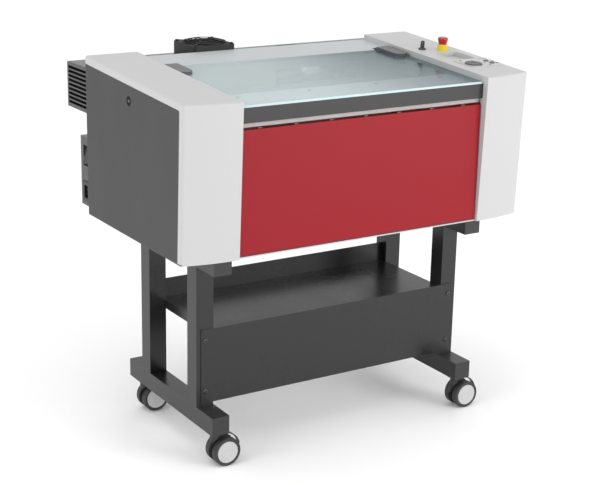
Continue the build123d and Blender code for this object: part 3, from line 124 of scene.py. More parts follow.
# %% A finish: one material and its nodes
class Finish:
    """A material whose nodes are made by one method."""

    def __init__(self, name):
        self.material = bpy.data.materials.new(name)
        self.material.use_nodes = True
        self.tree = self.material.node_tree
        self.tree.nodes.clear()
        self.output = self.tree.nodes.new("ShaderNodeOutputMaterial")

    def node(self, kind, settings=None, inputs=None, out=0):
        """Adds a node, sets it up, feeds its sockets and returns one of its outputs."""
        node = self.tree.nodes.new(kind)
        for key, value in (settings or {}).items():
            if key == "stops":
                self._stops(node.color_ramp, value)
            else:
                setattr(node, key, value)
        for key, value in (inputs or {}).items():
            if isinstance(value, Value):
                self.tree.links.new(value.socket, node.inputs[key])
            else:
                node.inputs[key].default_value = value
        return Value(self, node.outputs[out])

    def _stops(self, ramp, stops):
        while len(ramp.elements) < len(stops):
            ramp.elements.new(1.0)
        for element, (place, colour) in zip(ramp.elements, stops):
            element.position = place
            element.color = colour

    def place(self):
        """Where a point is on the machine, in metres."""
        return self.node("ShaderNodeTexCoord", out="Object")

    def axis(self, number):
        """One coordinate of that place: 0 across, 1 towards the back, 2 up."""
        return self.node("ShaderNodeSeparateXYZ", inputs={"Vector": self.place()}, out=number)

    def noise(self, per_metre, detail=2.0, stretch=(1, 1, 1), rough=0.5):
        """Soft speckle with about this many blobs in a metre."""
        spot = self.node("ShaderNodeMapping", inputs={"Vector": self.place(), "Scale": stretch})
        return self.node("ShaderNodeTexNoise", inputs={"Vector": spot, "Scale": per_metre, "Detail": detail,
                                                       "Roughness": rough})

    def ramp(self, value, low, high):
        """Nought below one number, one above another, and a soft rise between."""
        inputs = {"Value": value, 1: low, 2: high}
        return self.node("ShaderNodeMapRange", {"interpolation_type": "SMOOTHSTEP"}, inputs)

    def mix(self, factor, first, second):
        """A colour between two colours."""
        return self.node("ShaderNodeMix", {"data_type": "RGBA"}, {0: factor, 6: first, 7: second}, out=2)

    def bump(self, height, depth_mm, normal=None):
        """Turns a height into a tilt of the surface; the depth is in millimetres."""
        inputs = {"Height": height, "Distance": depth_mm * MM, "Strength": 1.0}
        if normal is not None:
            inputs["Normal"] = normal
        return self.node("ShaderNodeBump", inputs=inputs)

    def shade(self, **inputs):
        """The surface itself; names are the shader's own sockets with _ for a space."""
        named = {key.replace("_", " "): value for key, value in inputs.items()}
        shader = self.node("ShaderNodeBsdfPrincipled", inputs=named)
        self.tree.links.new(shader.socket, self.output.inputs["Surface"])
        return self.material


def rgb(red, green, blue):
    """A colour with full opacity."""
    return (red, green, blue, 1.0)


def shaded(colour, factor):
    """The same colour, lighter or darker."""
    return tuple(min(1.0, channel * factor) for channel in colour[:3]) + (1.0,)


print("finish tools ready")

# %% [markdown]
# ## Powder coat
# The covers, panels and stand are sheet steel with baked powder. Close up it has a fine orange-peel
# skin, it takes a slightly different sheen from place to place, and hands leave faint duller patches. A
# scan of such a surface would also do, but a formula stays sharp at any distance.

# %% Powder coat
def powder_coat(name, colour, rough=0.42, peel=0.02, drift=0.05, grain=1.0, gloss=0.45, ends=None):
    """Baked powder: the peel is its ripple in millimetres, the drift how far its tone wanders.

    The ends are a distance from the machine's middle and the colour of what lies further out."""
    finish = Finish(name)
    cloud = finish.noise(4, detail=3)
    speckle = finish.noise(1400, detail=1)
    smudge = finish.noise(11, detail=4, stretch=(1, 1, 0.4))
    tone = cloud * 0.6 + speckle * 0.4 * grain
    base = finish.mix(tone, shaded(colour, 1 - drift), shaded(colour, 1 + drift))
    if ends:
        base = finish.mix(finish.axis(0).size() > ends[0], base, ends[1])
    ripple = finish.noise(420, detail=2)
    sheen = rough - 0.06 + smudge * 0.1 + speckle * 0.03 * grain
    return finish.shade(Base_Color=base, Roughness=sheen, Specular_IOR_Level=gloss,
                        Normal=finish.bump(ripple + speckle * 0.3, peel))


WHITE = rgb(0.505, 0.505, 0.505)
PALE = rgb(0.46, 0.48, 0.49)
HOUSING = rgb(0.036, 0.036, 0.037)
DARK = rgb(0.034, 0.034, 0.035)
STAND = rgb(0.014, 0.014, 0.0145)
BAND = rgb(0.023, 0.023, 0.023)
RED = rgb(0.27, 0.002, 0.008)
PANEL_INNER_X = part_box("right_side_panel")[0].x

white_coat = powder_coat("white_powder_coat", WHITE, rough=0.45, drift=0.02, gloss=0.22)
pale_coat = powder_coat("pale_powder_coat", PALE, rough=0.42, drift=0.02)
housing_coat = powder_coat("housing_powder_coat", HOUSING, rough=0.27, drift=0.05)
panel_coat = powder_coat("panel_powder_coat", DARK, rough=0.5, peel=0.05, drift=0.12)
stand_coat = powder_coat("stand_powder_coat", STAND, rough=0.28, peel=0.03, drift=0.14)
band_coat = powder_coat("band_powder_coat", BAND, rough=0.38, drift=0.08)
red_coat = powder_coat("red_powder_coat", RED, rough=0.42, peel=0.015, drift=0.06, grain=0.5, gloss=0.25)
pan_coat = powder_coat("pan_powder_coat", WHITE, rough=0.42, drift=0.02, ends=(PANEL_INNER_X, DARK))
print("powder coats", 8)

# %% [markdown]
# ## Plastic, rubber and metal
# Moulded plastic has a spark-eroded grain, rubber a duller and rougher one, and turned or plated metal
# shows the direction of the tool. Each is the same sort of sum with other numbers.

# %% Moulded plastic and rubber
def moulded(name, colour, rough=0.45, grain_mm=0.03, per_metre=900, coat=0.0, gloss=0.5):
    """Injection-moulded plastic or rubber with a fine even grain."""
    finish = Finish(name)
    grain = finish.noise(per_metre, detail=2)
    worn = finish.noise(28, detail=3)
    base = finish.mix(worn * 0.7 + grain * 0.3, shaded(colour, 0.86), shaded(colour, 1.14))
    return finish.shade(Base_Color=base, Roughness=rough - 0.05 + worn * 0.1, Coat_Weight=coat,
                        Specular_IOR_Level=gloss, Normal=finish.bump(grain, grain_mm))


# %% Brushed, turned and plated metal
def metal(name, colour, rough=0.3, along=(1, 1, 1), line_mm=0.01, per_metre=900):
    """Bare metal whose fine lines run where the noise is stretched."""
    finish = Finish(name)
    lines = finish.noise(per_metre, detail=3, stretch=along)
    stain = finish.noise(18, detail=3)
    base = finish.mix(lines * 0.5 + stain * 0.5, shaded(colour, 0.84), shaded(colour, 1.1))
    return finish.shade(Base_Color=base, Metallic=1.0, Roughness=rough - 0.06 + lines * 0.08 + stain * 0.06,
                        Normal=finish.bump(lines, line_mm))


black_plastic = moulded("black_plastic", rgb(0.018, 0.018, 0.019), rough=0.42)
fan_plastic = moulded("fan_plastic", rgb(0.009, 0.009, 0.0095), rough=0.5, grain_mm=0.015, gloss=0.32)
caster_nylon = moulded("caster_nylon", rgb(0.022, 0.022, 0.023), rough=0.4, grain_mm=0.02)
tyre_rubber = moulded("tyre_rubber", rgb(0.028, 0.028, 0.03), rough=0.62, grain_mm=0.05, per_metre=1500)
cap_plastic = moulded("cap_plastic", rgb(0.49, 0.49, 0.49), rough=0.34, grain_mm=0.008)
hinge_plastic = moulded("hinge_plastic", rgb(0.085, 0.083, 0.09), rough=0.38)
keypad_plastic = moulded("keypad_plastic", rgb(0.50, 0.50, 0.50), rough=0.4, grain_mm=0.02)
button_plastic = moulded("button_plastic", rgb(0.085, 0.08, 0.085), rough=0.45, grain_mm=0.02)
stop_yellow = moulded("stop_yellow", rgb(0.76, 0.57, 0.02), rough=0.3, grain_mm=0.008, coat=0.3)
stop_red = moulded("stop_red", rgb(0.40, 0.008, 0.012), rough=0.28, grain_mm=0.008, coat=0.3)
strut_black = moulded("strut_black", rgb(0.014, 0.014, 0.015), rough=0.22, grain_mm=0.004)
strip_plastic = moulded("strip_plastic", rgb(0.40, 0.35, 0.35), rough=0.35, grain_mm=0.01)
plated_steel = metal("plated_steel", rgb(0.55, 0.55, 0.55), rough=0.32)
chrome = metal("chrome", rgb(0.75, 0.75, 0.76), rough=0.14)
brushed_alu = metal("brushed_aluminium", rgb(0.62, 0.62, 0.64), rough=0.36, along=(0.03, 1, 1))
rail_steel = metal("rail_steel", rgb(0.50, 0.50, 0.51), rough=0.3, along=(1, 0.03, 1))
board_green = moulded("board_green", rgb(0.02, 0.16, 0.05), rough=0.3, grain_mm=0.02)
supply_grey = moulded("supply_grey", rgb(0.42, 0.42, 0.43), rough=0.4)
print("materials so far", len(bpy.data.materials))

# %% [markdown]
# ## Side latch
# The latch is a near-black disc with a small metal lock in its middle; the disc's blackness is partly its
# plastic and partly painted shade of the gap round it. The lock could be a piece of its own, but the disc
# is flush with the panel, so a finish that changes with the distance from the disc's axis does it and
# turns with the latch.

# %% Side latch
def latch_face(name, colour, centre_colour, middle, radius):
    """Near-black plastic, its darkness partly painted shade of the gap round it, about a bare metal lock in
    the middle of a sideways disc.
    """
    finish = Finish(name)
    away = [finish.axis(number) - middle[number] for number in (1, 2)]
    ring = finish.ramp(away[0] * away[0] + away[1] * away[1], (radius * 0.9) ** 2, radius ** 2)
    grain = finish.noise(900, detail=2)
    base = finish.mix(ring, centre_colour, colour)
    return finish.shade(Base_Color=base, Metallic=1 - ring, Roughness=0.3 + grain * 0.1 + ring * 0.15,
                        Specular_IOR_Level=0.15, Normal=finish.bump(grain, 0.02))


low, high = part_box("side_latch")
disc_r = (high.y - low.y) / 2
latch_middle = Vector((low.x, low.y + disc_r, low.z + disc_r))
LOCK_R = 4 * MM
# Painted shade: the disc is darker and duller than black plastic elsewhere, for the shadow in the gap round
# it.
latch_black_and_gap_shade = latch_face("latch_black_and_gap_shade", rgb(0.004, 0.004, 0.004), rgb(0.14, 0.14, 0.14), latch_middle, LOCK_R)
print("latch disc in mm", round(disc_r / MM, 1))

# %% [markdown]
# ## Tinted glass
# The lid is one thick tempered pane. Real refraction makes the inside of a closed box go black for lack
# of light, so the pane is treated as a thin veil: part of the light goes straight through, the rest
# comes back as a pale blue-green haze, and a smooth surface adds the reflections. Across the lid the
# haze is painted darker towards the right end, as painted shade.

# %% Glass
def veil_glass(name, colour, alpha, rough=0.06, far=None):
    """A pane seen through: alpha is the share of its own haze, far a darker tone painted towards the right
    end as shade.
    """
    finish = Finish(name)
    haze = finish.noise(3, detail=2)
    film = finish.noise(60, detail=3)
    base = finish.mix(haze, shaded(colour, 0.97), shaded(colour, 1.03))
    # Painted shade: the haze is blended towards a darker tone across the pane, from left to right.
    if far:
        base = finish.mix(finish.ramp(finish.axis(0), -0.16, 0.40), base, far)
    return finish.shade(Base_Color=base, Alpha=alpha + film * 0.02, Roughness=rough + film * 0.03,
                        Specular_IOR_Level=0.8)


# The far colour is painted shade that darkens the lid towards its right end.
lid_tint = veil_glass("lid_tint", rgb(0.72, 0.85, 0.87), 0.40, far=rgb(0.08, 0.16, 0.19))
# A pale, nearly opaque tint for the lid's front edge: its frosted tone and a painted highlight.
lid_edge_frost_and_highlight = veil_glass("lid_edge_frost_and_highlight", rgb(0.52, 0.66, 0.68), 0.92, rough=0.2)
tube_glass = veil_glass("laser_tube_glass", rgb(0.75, 0.62, 0.72), 0.4)
print("glass", lid_tint.name)

# %% [markdown]
# ## Honeycomb table
# The work table is a honeycomb of aluminium foil, so that smoke can leave under the work. Its cells could
# be geometry, at thousands of faces for walls a millimetre thick. Here a formula finds them: the centres
# lie on two square-cornered grids shifted by half a cell, the nearer centre wins, and the hexagon's wall
# is where the distance to that centre, taken along three directions, is largest. The open cells are
# painted near black, as painted shade for their depth.

# %% Honeycomb
def honeycomb_metal(name, colour, cell, wall, edge_x, edge_y):
    """Bare metal pierced by hexagons whose open cells are painted near black as shade; beyond edge_x and
    outside the pair edge_y it is plain.
    """
    finish = Finish(name)
    spots = [finish.axis(0), finish.axis(1)]
    sizes = (cell, cell * math.sqrt(3))
    first = [spot % size - size / 2 for spot, size in zip(spots, sizes)]
    second = [(spot + size / 2) % size - size / 2 for spot, size in zip(spots, sizes)]
    nearer = first[0] * first[0] + first[1] * first[1] < second[0] * second[0] + second[1] * second[1]
    x, y = [(b + (a - b) * nearer).size() for a, b in zip(first, second)]
    reach = x.above(x * 0.5 + y * math.sqrt(0.75))
    inside = (spots[0].size() < edge_x) * (spots[1] > edge_y[0]) * (spots[1] < edge_y[1])
    # Painted shade: the open cells are coloured near black for the shade inside them.
    shaded_hole = finish.ramp(cell / 2 - wall / 2 - reach, 0.0, wall / 2) * inside
    scratch = finish.noise(300, detail=3, stretch=(1, 0.05, 1))
    base = finish.mix(scratch, shaded(colour, 0.86), shaded(colour, 1.1))
    return finish.shade(Base_Color=finish.mix(shaded_hole, base, rgb(0.012, 0.012, 0.012)), Metallic=1 - shaded_hole,
                        Roughness=0.3 + scratch * 0.1 + shaded_hole * 0.4, Normal=finish.bump(1 - shaded_hole, 0.8))


CELL = 10 * MM
CELL_WALL = 1.2 * MM
TABLE_BORDER = 14 * MM
low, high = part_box("work_table")
edges = (low.y + TABLE_BORDER, high.y - TABLE_BORDER)
honeycomb = honeycomb_metal("honeycomb_aluminium", rgb(0.24, 0.25, 0.24), CELL, CELL_WALL,
                            high.x - TABLE_BORDER, edges)
print("cells across", int((high.x - low.x) / CELL))

# %% [markdown]
# ## Inks and dark metal
# Printed marks are a flat matt film, and the small screws are blackened steel. Both reuse the finishes
# above with darker numbers.

# %% Inks and dark metal
dark_steel = metal("dark_steel", rgb(0.09, 0.09, 0.09), rough=0.32, per_metre=1200)
print_ink = moulded("print_ink", rgb(0.014, 0.014, 0.015), rough=0.5, grain_mm=0.002)
button_grey = moulded("arrow_ink", rgb(0.30, 0.31, 0.32), rough=0.5, grain_mm=0.002)
print("inks ready")

# %% [markdown]
# ## Giving the parts their finish
# Each part of the frame has one material slot. A table from finish to part names keeps the whole
# colour scheme in one place, where it can be read and changed at a glance.

# %% Finish of every framed part
corners = [f"{end}_{side}" for end in ("front", "rear") for side in ("left", "right")]
finishes = {
    white_coat: ["left_pod_cover", "right_pod_cover"],
    pan_coat: ["base_pan"],
    pale_coat: ["front_deck", "rear_deck"],
    housing_coat: ["laser_housing", "connector_box"],
    panel_coat: ["left_side_panel", "right_side_panel"],
    stand_coat: ["left_stand_frame", "right_stand_frame", "stand_front_panel", "stand_shelf"],
    band_coat: ["front_band"],
    red_coat: ["front_door"],
    black_plastic: ["tube_end_caps", "power_switch", "mains_inlet", "key"],
    latch_black_and_gap_shade: ["side_latch"],
    dark_steel: ["key_switch_base"],
    fan_plastic: ["fan_frame", "fan_rotor", "fan_guard"],
    caster_nylon: ["caster_fork_" + corner for corner in corners],
    tyre_rubber: ["caster_wheels_" + corner for corner in corners],
    hinge_plastic: ["lid_hinge_arms", "lid_hinge_brackets", "strut_lid_bracket"],
    keypad_plastic: ["keypad_plate"],
    button_plastic: ["jog_pad", "start_button", "pause_button"],
    stop_yellow: ["estop_base"],
    stop_red: ["estop_button"],
    strip_plastic: ["light_strip"],
    plated_steel: ["stand_bolts", "deck_screws", "caster_plates", "door_hinge_pins"],
    chrome: ["strut_rod"],
    honeycomb: ["work_table"],
    brushed_alu: ["gantry_beam", "laser_head", "exhaust_spigot"],
    rail_steel: ["gantry_rails", "table_guide_posts", "table_lead_screw", "drive_shaft"],
    board_green: ["control_board"],
    supply_grey: ["power_supply"],
    lid_tint: ["lid_glass"],
    tube_glass: ["laser_tube"],
    strut_black: ["strut_cylinder"],
}
for finish, names in finishes.items():
    for name in names:
        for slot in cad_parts[name].material_slots:
            slot.link = "OBJECT"
            slot.material = finish
painted = {name for names in finishes.values() for name in names}
print("painted", len(painted), "unpainted", sorted(set(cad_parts) - painted))

# %% [markdown]
# ## Small pieces in mesh code
# The frame leaves out what is only seen: caps, sockets, printed marks. They are built as rings of
# points, because a lathe profile or a rounded outline gives clean quads that stay smooth.

# %% Mesh helpers
SEGMENTS = 48


def piece(name, bm, material, body, smooth=True):
    """Turns a bmesh into a finished piece that rides on a body."""
    bmesh.ops.recalc_face_normals(bm, faces=bm.faces)
    mesh = bpy.data.meshes.new(name)
    bm.to_mesh(mesh)
    bm.free()
    mesh.materials.append(material)
    if smooth:
        mesh.shade_smooth()
        mesh.set_sharp_from_angle(angle=math.radians(35))
    thing = bpy.data.objects.new(name, mesh)
    bpy.context.scene.collection.objects.link(thing)
    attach(thing, body)
    return thing


def hexagon(angle):
    """How far a hexagon reaches at an angle, for a flat-to-centre distance of one."""
    sixth = math.pi / 3
    return 1 / math.cos(angle % sixth - sixth / 2)


def lathe(bm, profile, place, segments=SEGMENTS, hexes=0):
    """Rings of points from (radius, height) pairs, the first few of them hexagons for a socket."""
    rings = []
    for count, (radius, height) in enumerate(profile):
        ring = []
        for i in range(segments):
            angle = 2 * math.pi * i / segments
            reach = radius * (hexagon(angle) if count < hexes else 1)
            point = Vector((reach * math.cos(angle), reach * math.sin(angle), height))
            ring.append(bm.verts.new(place @ point))
        rings.append(ring)
    for low, high in zip(rings, rings[1:]):
        for i in range(segments):
            j = (i + 1) % segments
            bm.faces.new((low[i], low[j], high[j], high[i]))
    bm.faces.new(list(reversed(rings[0])))
    bm.faces.new(rings[-1])


def socket_head(bm, radius, height, place):
    """A button-head screw with a hexagonal socket."""
    flat = radius * 0.36
    profile = [(flat, height * 0.35), (flat, height)]
    steps = 5
    for i in range(steps + 1):
        turn = math.pi / 2 * i / steps
        profile.append((radius * (0.52 + 0.48 * math.sin(turn)), height * (0.25 + 0.75 * math.cos(turn))))
    profile.append((radius, 0))
    lathe(bm, profile, place, segments=36, hexes=2)


def slab(bm, low, high, bevel=0.0):
    """A block between two corners with its edges eased."""
    made = bmesh.ops.create_cube(bm, size=1.0)["verts"]
    size = Vector(high) - Vector(low)
    middle = (Vector(high) + Vector(low)) / 2
    for vert in made:
        vert.co = Vector(vert.co[i] * size[i] for i in range(3)) + middle
    if bevel > 0:
        edges = {edge for vert in made for edge in vert.link_edges}
        bmesh.ops.bevel(bm, geom=list(edges), offset=bevel, segments=3, affect="EDGES", profile=0.5)


def facing(middle, direction):
    """A place whose local +Z looks along a direction."""
    turn = Vector((0, 0, 1)).rotation_difference(Vector(direction)).to_matrix().to_4x4()
    return Matrix.Translation(middle) @ turn


print("mesh helpers ready")

# %% [markdown]
# ## Casters
# A twin-wheel caster has a soft tyre on each wheel and a pale snap-in cap that hides the hub. The cap is
# a shallow dish with a raised lip, so it catches a bright ring of light at its edge.

# %% Wheel caps
def wheel_cap(bm, middle, direction, radius, proud):
    """A dished cap: lip, slope and flat centre."""
    profile = [(radius, 0), (radius, proud * 0.6), (radius * 0.985, proud * 0.92), (radius * 0.95, proud),
               (radius * 0.90, proud * 0.8), (radius * 0.84, proud * 0.55), (radius * 0.5, proud * 0.62),
               (radius * 0.16, proud * 0.66), (radius * 0.13, proud * 0.45), (radius * 0.02, proud * 0.45)]
    lathe(bm, profile, facing(middle, direction))


CAP_R = 27.3 * MM
CAP_SEAT = 1.45 * MM
CAP_PROUD = 1.4 * MM
for corner in corners:
    low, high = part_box("caster_wheels_" + corner)
    hub = (low + high) / 2
    bm = bmesh.new()
    wheel_cap(bm, Vector((hub.x, low.y + CAP_SEAT, hub.z)), (0, -1, 0), CAP_R, CAP_PROUD)
    wheel_cap(bm, Vector((hub.x, high.y - CAP_SEAT, hub.z)), (0, 1, 0), CAP_R, CAP_PROUD)
    piece("wheel_caps_" + corner, bm, cap_plastic, "wheels_" + corner)
print("wheel caps", len(corners) * 2)

# %% [markdown]
# ## The sloping top
# Everything on top lies on one plane that rises gently to the back. The pane's own top face gives its
# slope, and a part's box can then be measured along that plane instead of along the floor.

# %% Measuring along the slope
def top_slope(node):
    """How steeply a part's top face rises towards the back."""
    low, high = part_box(node)
    points = [vert.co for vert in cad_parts[node].data.vertices]
    front = max((p for p in points if p.y < low.y + 2 * MM), key=lambda p: p.z)
    back = max((p for p in points if p.y > high.y - 2 * MM), key=lambda p: p.z)
    return math.atan2(back.z - front.z, back.y - front.y)


SLOPE = Matrix.Rotation(top_slope("lid_glass"), 4, "X")


def slope_box(node):
    """A part's lowest and highest corner, measured along and square to the sloping top."""
    flat = SLOPE.inverted()
    points = [flat @ vert.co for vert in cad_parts[node].data.vertices]
    low = Vector(min(p[i] for p in points) for i in range(3))
    high = Vector(max(p[i] for p in points) for i in range(3))
    return low, high


def tilt(bm):
    """Lays points made along the slope onto the machine."""
    bmesh.ops.transform(bm, matrix=SLOPE, verts=bm.verts)


print("slope in degrees", round(math.degrees(top_slope("lid_glass")), 3))

# %% [markdown]
# ## Screws
# Button-head screws are turned, then a hexagonal socket is pressed into the crown. They stand in for
# the plain heads of the frame, shank and all.

# %% Stand bolts and deck screws
def shank(bm, radius, start, end):
    """The hidden part of a screw."""
    length = (Vector(end) - Vector(start)).length
    lathe(bm, [(radius, 0), (radius, length * 0.9), (radius * 0.7, length)],
          facing(start, Vector(end) - Vector(start)), segments=20)


low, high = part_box("stand_bolts")
bolt_r = 6 * MM
bolt_head = 3 * MM
bm = bmesh.new()
for x in (low.x + bolt_r, high.x - bolt_r):
    for z in (low.z + bolt_r, high.z - bolt_r):
        socket_head(bm, bolt_r, bolt_head, facing((x, low.y + bolt_head, z), (0, -1, 0)))
        shank(bm, bolt_r / 2, (x, low.y + bolt_head, z), (x, high.y, z))
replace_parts(piece("stand_button_bolts", bm, dark_steel, "machine"), "stand_bolts")

low, high = slope_box("deck_screws")
screw_r = 4 * MM
screw_head = 2.2 * MM
deck_middle = (low.y + high.y) / 2
inner = 96 * MM
outer = high.x - screw_r
bm = bmesh.new()
for x in (-outer, -inner, inner, outer):
    socket_head(bm, screw_r, screw_head, Matrix.Translation((x, deck_middle, high.z - screw_head)))
    shank(bm, screw_r / 2, (x, deck_middle, high.z - screw_head), (x, deck_middle, low.z))
tilt(bm)
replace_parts(piece("deck_button_screws", bm, dark_steel, "machine"), "deck_screws")
print("screws", 8)

# %% [markdown]
# ## Controls
# The keypad's marks are a film print: flat dark shapes a quarter of a millimetre thick. The jog pad
# carries four arrowheads, and the keys beside it a few bars and dots. None of them is a letter. An image
# would need unwrapping, while a raised outline is placed in millimetres: each mark below is its middle
# across and along, its width and its depth, from the plate's near left corner.

# %% Printed marks
PRINT = 0.25 * MM


def flat_mark(bm, outline, height):
    """A thin raised shape on the slope, from its corners in order."""
    low = [bm.verts.new((x, y, height)) for x, y in outline]
    high = [bm.verts.new((x, y, height + PRINT)) for x, y in outline]
    bm.faces.new(list(reversed(low)))
    bm.faces.new(high)
    for i in range(len(outline)):
        j = (i + 1) % len(outline)
        bm.faces.new((low[i], low[j], high[j], high[i]))


def rounded(x, y, wide, deep, corner, steps=5):
    """The outline of a rounded rectangle."""
    points = []
    for quarter, (sx, sy) in enumerate(((1, 1), (-1, 1), (-1, -1), (1, -1))):
        for i in range(steps + 1):
            angle = math.pi / 2 * (quarter + i / steps)
            points.append((x + sx * (wide / 2 - corner) + corner * math.cos(angle),
                           y + sy * (deep / 2 - corner) + corner * math.sin(angle)))
    return points


lamps = [(72 + 6 * i, 68, 4, 3) for i in range(5)]
key_marks = [(92, 36, 9, 6), (93, 18, 9, 6), (62, 8, 7, 4), (63, 32, 6, 5)]
edge_marks = [(14, 68, 6, 6), (6, 54, 4, 4), (30, 6, 10, 1.2), (46, 60, 8, 1.2)]
low, high = slope_box("keypad_plate")
bm = bmesh.new()
for x, y, wide, deep in lamps + key_marks + edge_marks:
    corner = min(wide, deep) * 0.3 * MM
    flat_mark(bm, rounded(low.x + x * MM, low.y + y * MM, wide * MM, deep * MM, corner), high.z)
tilt(bm)
piece("keypad_print", bm, print_ink, "machine", smooth=False)
print("keypad marks", len(lamps + key_marks + edge_marks))

# %% Arrows on the jog pad
ARROWS = 4
ARROW_SINK = 0.9 * MM
low, high = slope_box("jog_pad")
middle = (low + high) / 2
reach = (high.x - low.x) / 2
tip = reach * 0.84
tail = reach * 0.62
half = reach * 0.17
bm = bmesh.new()
for i in range(ARROWS):
    spin = Matrix.Rotation(2 * math.pi * i / ARROWS, 2)
    arrow = [spin @ Vector(point) for point in ((tip, 0), (tail, half), (tail, -half))]
    flat_mark(bm, [(middle.x + p.x, middle.y + p.y) for p in arrow], high.z - ARROW_SINK)
tilt(bm)
piece("jog_arrows", bm, button_grey, "jog", smooth=False)
print("jog arrows", ARROWS)

# %% [markdown]
# ## Front and top
# The pane's ground front edge shows as a thin pale line, partly its frosted tone and partly a painted
# highlight. Under it the band ends in a black block, the door has dark catch plates, and dark rubber
# strips fill the gaps beside the door as painted shade, where the gaps would lie in shadow.

# %% Lid edge
EDGE_INSET = 1 * MM
EDGE_PROUD = 0.5 * MM
EDGE_DEPTH = 1.5 * MM
EDGE_LAP = 0.2 * MM
low, high = slope_box("lid_glass")
bm = bmesh.new()
slab(bm, (low.x + EDGE_INSET, low.y - EDGE_PROUD, low.z - EDGE_LAP),
     (high.x - EDGE_INSET, low.y + EDGE_DEPTH, high.z + EDGE_LAP), bevel=0.3 * MM)
tilt(bm)
# Partly painted highlight: the pale strip gives the ground edge's frosted tone and the light it catches.
piece("lid_front_edge", bm, lid_edge_frost_and_highlight, "lid")
print("lid edge in mm", round((high.x - low.x - 2 * EDGE_INSET) / MM))

# %% Band end
BLOCK_WIDTH = 7 * MM
BLOCK_PROUD = 0.8 * MM
low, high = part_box("front_band")
bm = bmesh.new()
slab(bm, (high.x - BLOCK_WIDTH, low.y - BLOCK_PROUD, low.z + 1 * MM),
     (high.x + 0.2 * MM, low.y + 1 * MM, high.z - 2 * MM), bevel=0.4 * MM)
piece("band_end", bm, black_plastic, "machine")
print("band end", 1)

# %% Catch plates on the door
CATCH_PITCH = 96 * MM
CATCH_WIDTH = 11.2 * MM
catches = range(-3, 4)
door_low, door_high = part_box("front_door")
bm = bmesh.new()
for i in catches:
    x = i * CATCH_PITCH
    slab(bm, (x - CATCH_WIDTH / 2, door_low.y + 2.7 * MM, door_high.z - 2.6 * MM),
         (x + CATCH_WIDTH / 2, door_low.y + 8.6 * MM, door_high.z + 0.2 * MM), bevel=0.3 * MM)
piece("door_catch_plates", bm, dark_steel, "door")
print("catch plates", len(catches))

# %% Painted shade in the gaps beside the door
GAP_STRIP_X = 343 * MM
GAP_STRIP_WIDTH = 2.6 * MM
GAP_STRIP_Y = (5 * MM, 11 * MM)
# Painted shade: dark rubber strips fill the gaps beside the door, standing in for the shadow in them.
bm = bmesh.new()
for side in (-1, 1):
    edge = sorted((side * (GAP_STRIP_X - GAP_STRIP_WIDTH), side * (GAP_STRIP_X + 0.2 * MM)))
    slab(bm, (edge[0], door_low.y + GAP_STRIP_Y[0], door_low.z), (edge[1], door_low.y + GAP_STRIP_Y[1], door_high.z),
         bevel=0.5 * MM)
piece("door_gap_shade_strips", bm, tyre_rubber, "machine")
print("gap_shade_strips", 2)

# %% [markdown]
# ## Pieces at the back
# The fan guard has a pale disc in its middle, and a low black grip lies on the rear housing. The disc is
# turned like the wheel caps and the grip is an eased block, because nothing finer of them can be seen.

# %% Fan cap
FAN_CAP_R = 11 * MM
low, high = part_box("fan_guard")
guard_middle = (low + high) / 2
bm = bmesh.new()
lathe(bm, [(FAN_CAP_R, -2 * MM), (FAN_CAP_R, -0.4 * MM), (FAN_CAP_R * 0.9, 0), (FAN_CAP_R * 0.2, 0.2 * MM)],
      Matrix.Translation((guard_middle.x, guard_middle.y, high.z)))
piece("fan_hub_cap", bm, supply_grey, "machine")
print("fan cap", 1)

# %% Grip on the housing
GRIP_X = (112 * MM, 171 * MM)
GRIP_INSET = (50 * MM, 38 * MM)
GRIP_RISE = 5 * MM
low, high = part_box("laser_housing")
bm = bmesh.new()
slab(bm, (GRIP_X[0], high.y - GRIP_INSET[0], high.z - 1 * MM),
     (GRIP_X[1], high.y - GRIP_INSET[1], high.z + GRIP_RISE), bevel=1.5 * MM)
piece("housing_grip", bm, black_plastic, "machine")
print("grip in mm", round((GRIP_X[1] - GRIP_X[0]) / MM))

# %% [markdown]
# ## Studio
# A pale floor that runs off into a pale world, one large soft light in front, a weaker one from the left
# and a very soft sun overhead that lays a faint shadow under the machine. A single lamp would give hard
# shadows on the covers, so most of the light comes from the pale world. The camera stands to the
# operator's left and looks a little down.

# %% Floor
def floor_finish():
    """Matt white paint with a trace of dust."""
    finish = Finish("studio_floor")
    dust = finish.noise(3, detail=4)
    tone = finish.mix(dust, rgb(0.965, 0.965, 0.965), rgb(0.985, 0.985, 0.985))
    return finish.shade(Base_Color=tone, Roughness=0.85 + dust * 0.1)


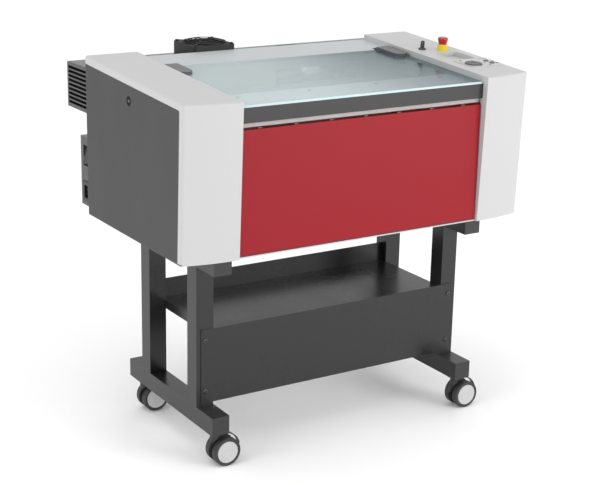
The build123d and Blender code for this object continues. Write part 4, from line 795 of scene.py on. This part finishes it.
FLOOR_SIZE = 120.0
bm = bmesh.new()
bmesh.ops.create_grid(bm, x_segments=8, y_segments=8, size=FLOOR_SIZE)
mesh = bpy.data.meshes.new("floor")
bm.to_mesh(mesh)
bm.free()
mesh.materials.append(floor_finish())
floor = bpy.data.objects.new("floor", mesh)
floor.location = (0, 0, cad_low.z - 0.5 * MM)
bpy.context.scene.collection.objects.link(floor)
print("floor", FLOOR_SIZE)

# %% Light
world = bpy.data.worlds.new("studio")
world.use_nodes = True
world.node_tree.nodes["Background"].inputs["Color"].default_value = (1.0, 1.0, 1.0, 1.0)
world.node_tree.nodes["Background"].inputs["Strength"].default_value = 0.89
bpy.context.scene.world = world


def hang(name, kind, power, place, direction):
    """A lamp at a place that shines along a direction."""
    lamp = bpy.data.lights.new(name, kind)
    lamp.energy = power
    thing = bpy.data.objects.new(name, lamp)
    thing.location = place
    thing.rotation_euler = Vector(direction).to_track_quat("-Z", "Y").to_euler()
    bpy.context.scene.collection.objects.link(thing)
    return lamp


def soft_box(name, place, aim, size, power):
    """A square area light that points at a place."""
    hang(name, "AREA", power, place, Vector(aim) - Vector(place)).size = size


bpy.context.scene.view_settings.view_transform = "Standard"
middle = (cad_low + cad_high) / 2
soft_box("front_light", (2.2, -4.0, 1.7), middle, 2.2, 88)
soft_box("left_light", (-3.6, -0.6, 1.6), middle, 2.0, 30)
hang("soft_sun", "SUN", 0.5, (0, 0, 0), (0.22, 0.02, -0.95)).angle = math.radians(38)
print("lights", len(bpy.data.lights))

# %% Camera
lens = bpy.data.cameras.new("camera")
lens.sensor_width = 36.0
lens.lens = 84.08
lens.shift_x = 0.05
camera = bpy.data.objects.new("camera", lens)
around = math.radians(31.33)
down = math.radians(16.71)
lean = math.radians(0.87)
forward = Vector((math.sin(around) * math.cos(down), math.cos(around) * math.cos(down), -math.sin(down)))
right = Vector((math.cos(around), -math.sin(around), 0))
up = right.cross(forward)
level = right * math.cos(lean) + up * math.sin(lean)
upright = up * math.cos(lean) - right * math.sin(lean)
turn = Matrix((level, upright, -forward)).transposed().to_4x4()
camera.matrix_world = Matrix.Translation((-1.86109, -2.9655, 1.48694)) @ turn
bpy.context.scene.collection.objects.link(camera)
bpy.context.scene.camera = camera
print("camera", tuple(round(v, 3) for v in camera.location))
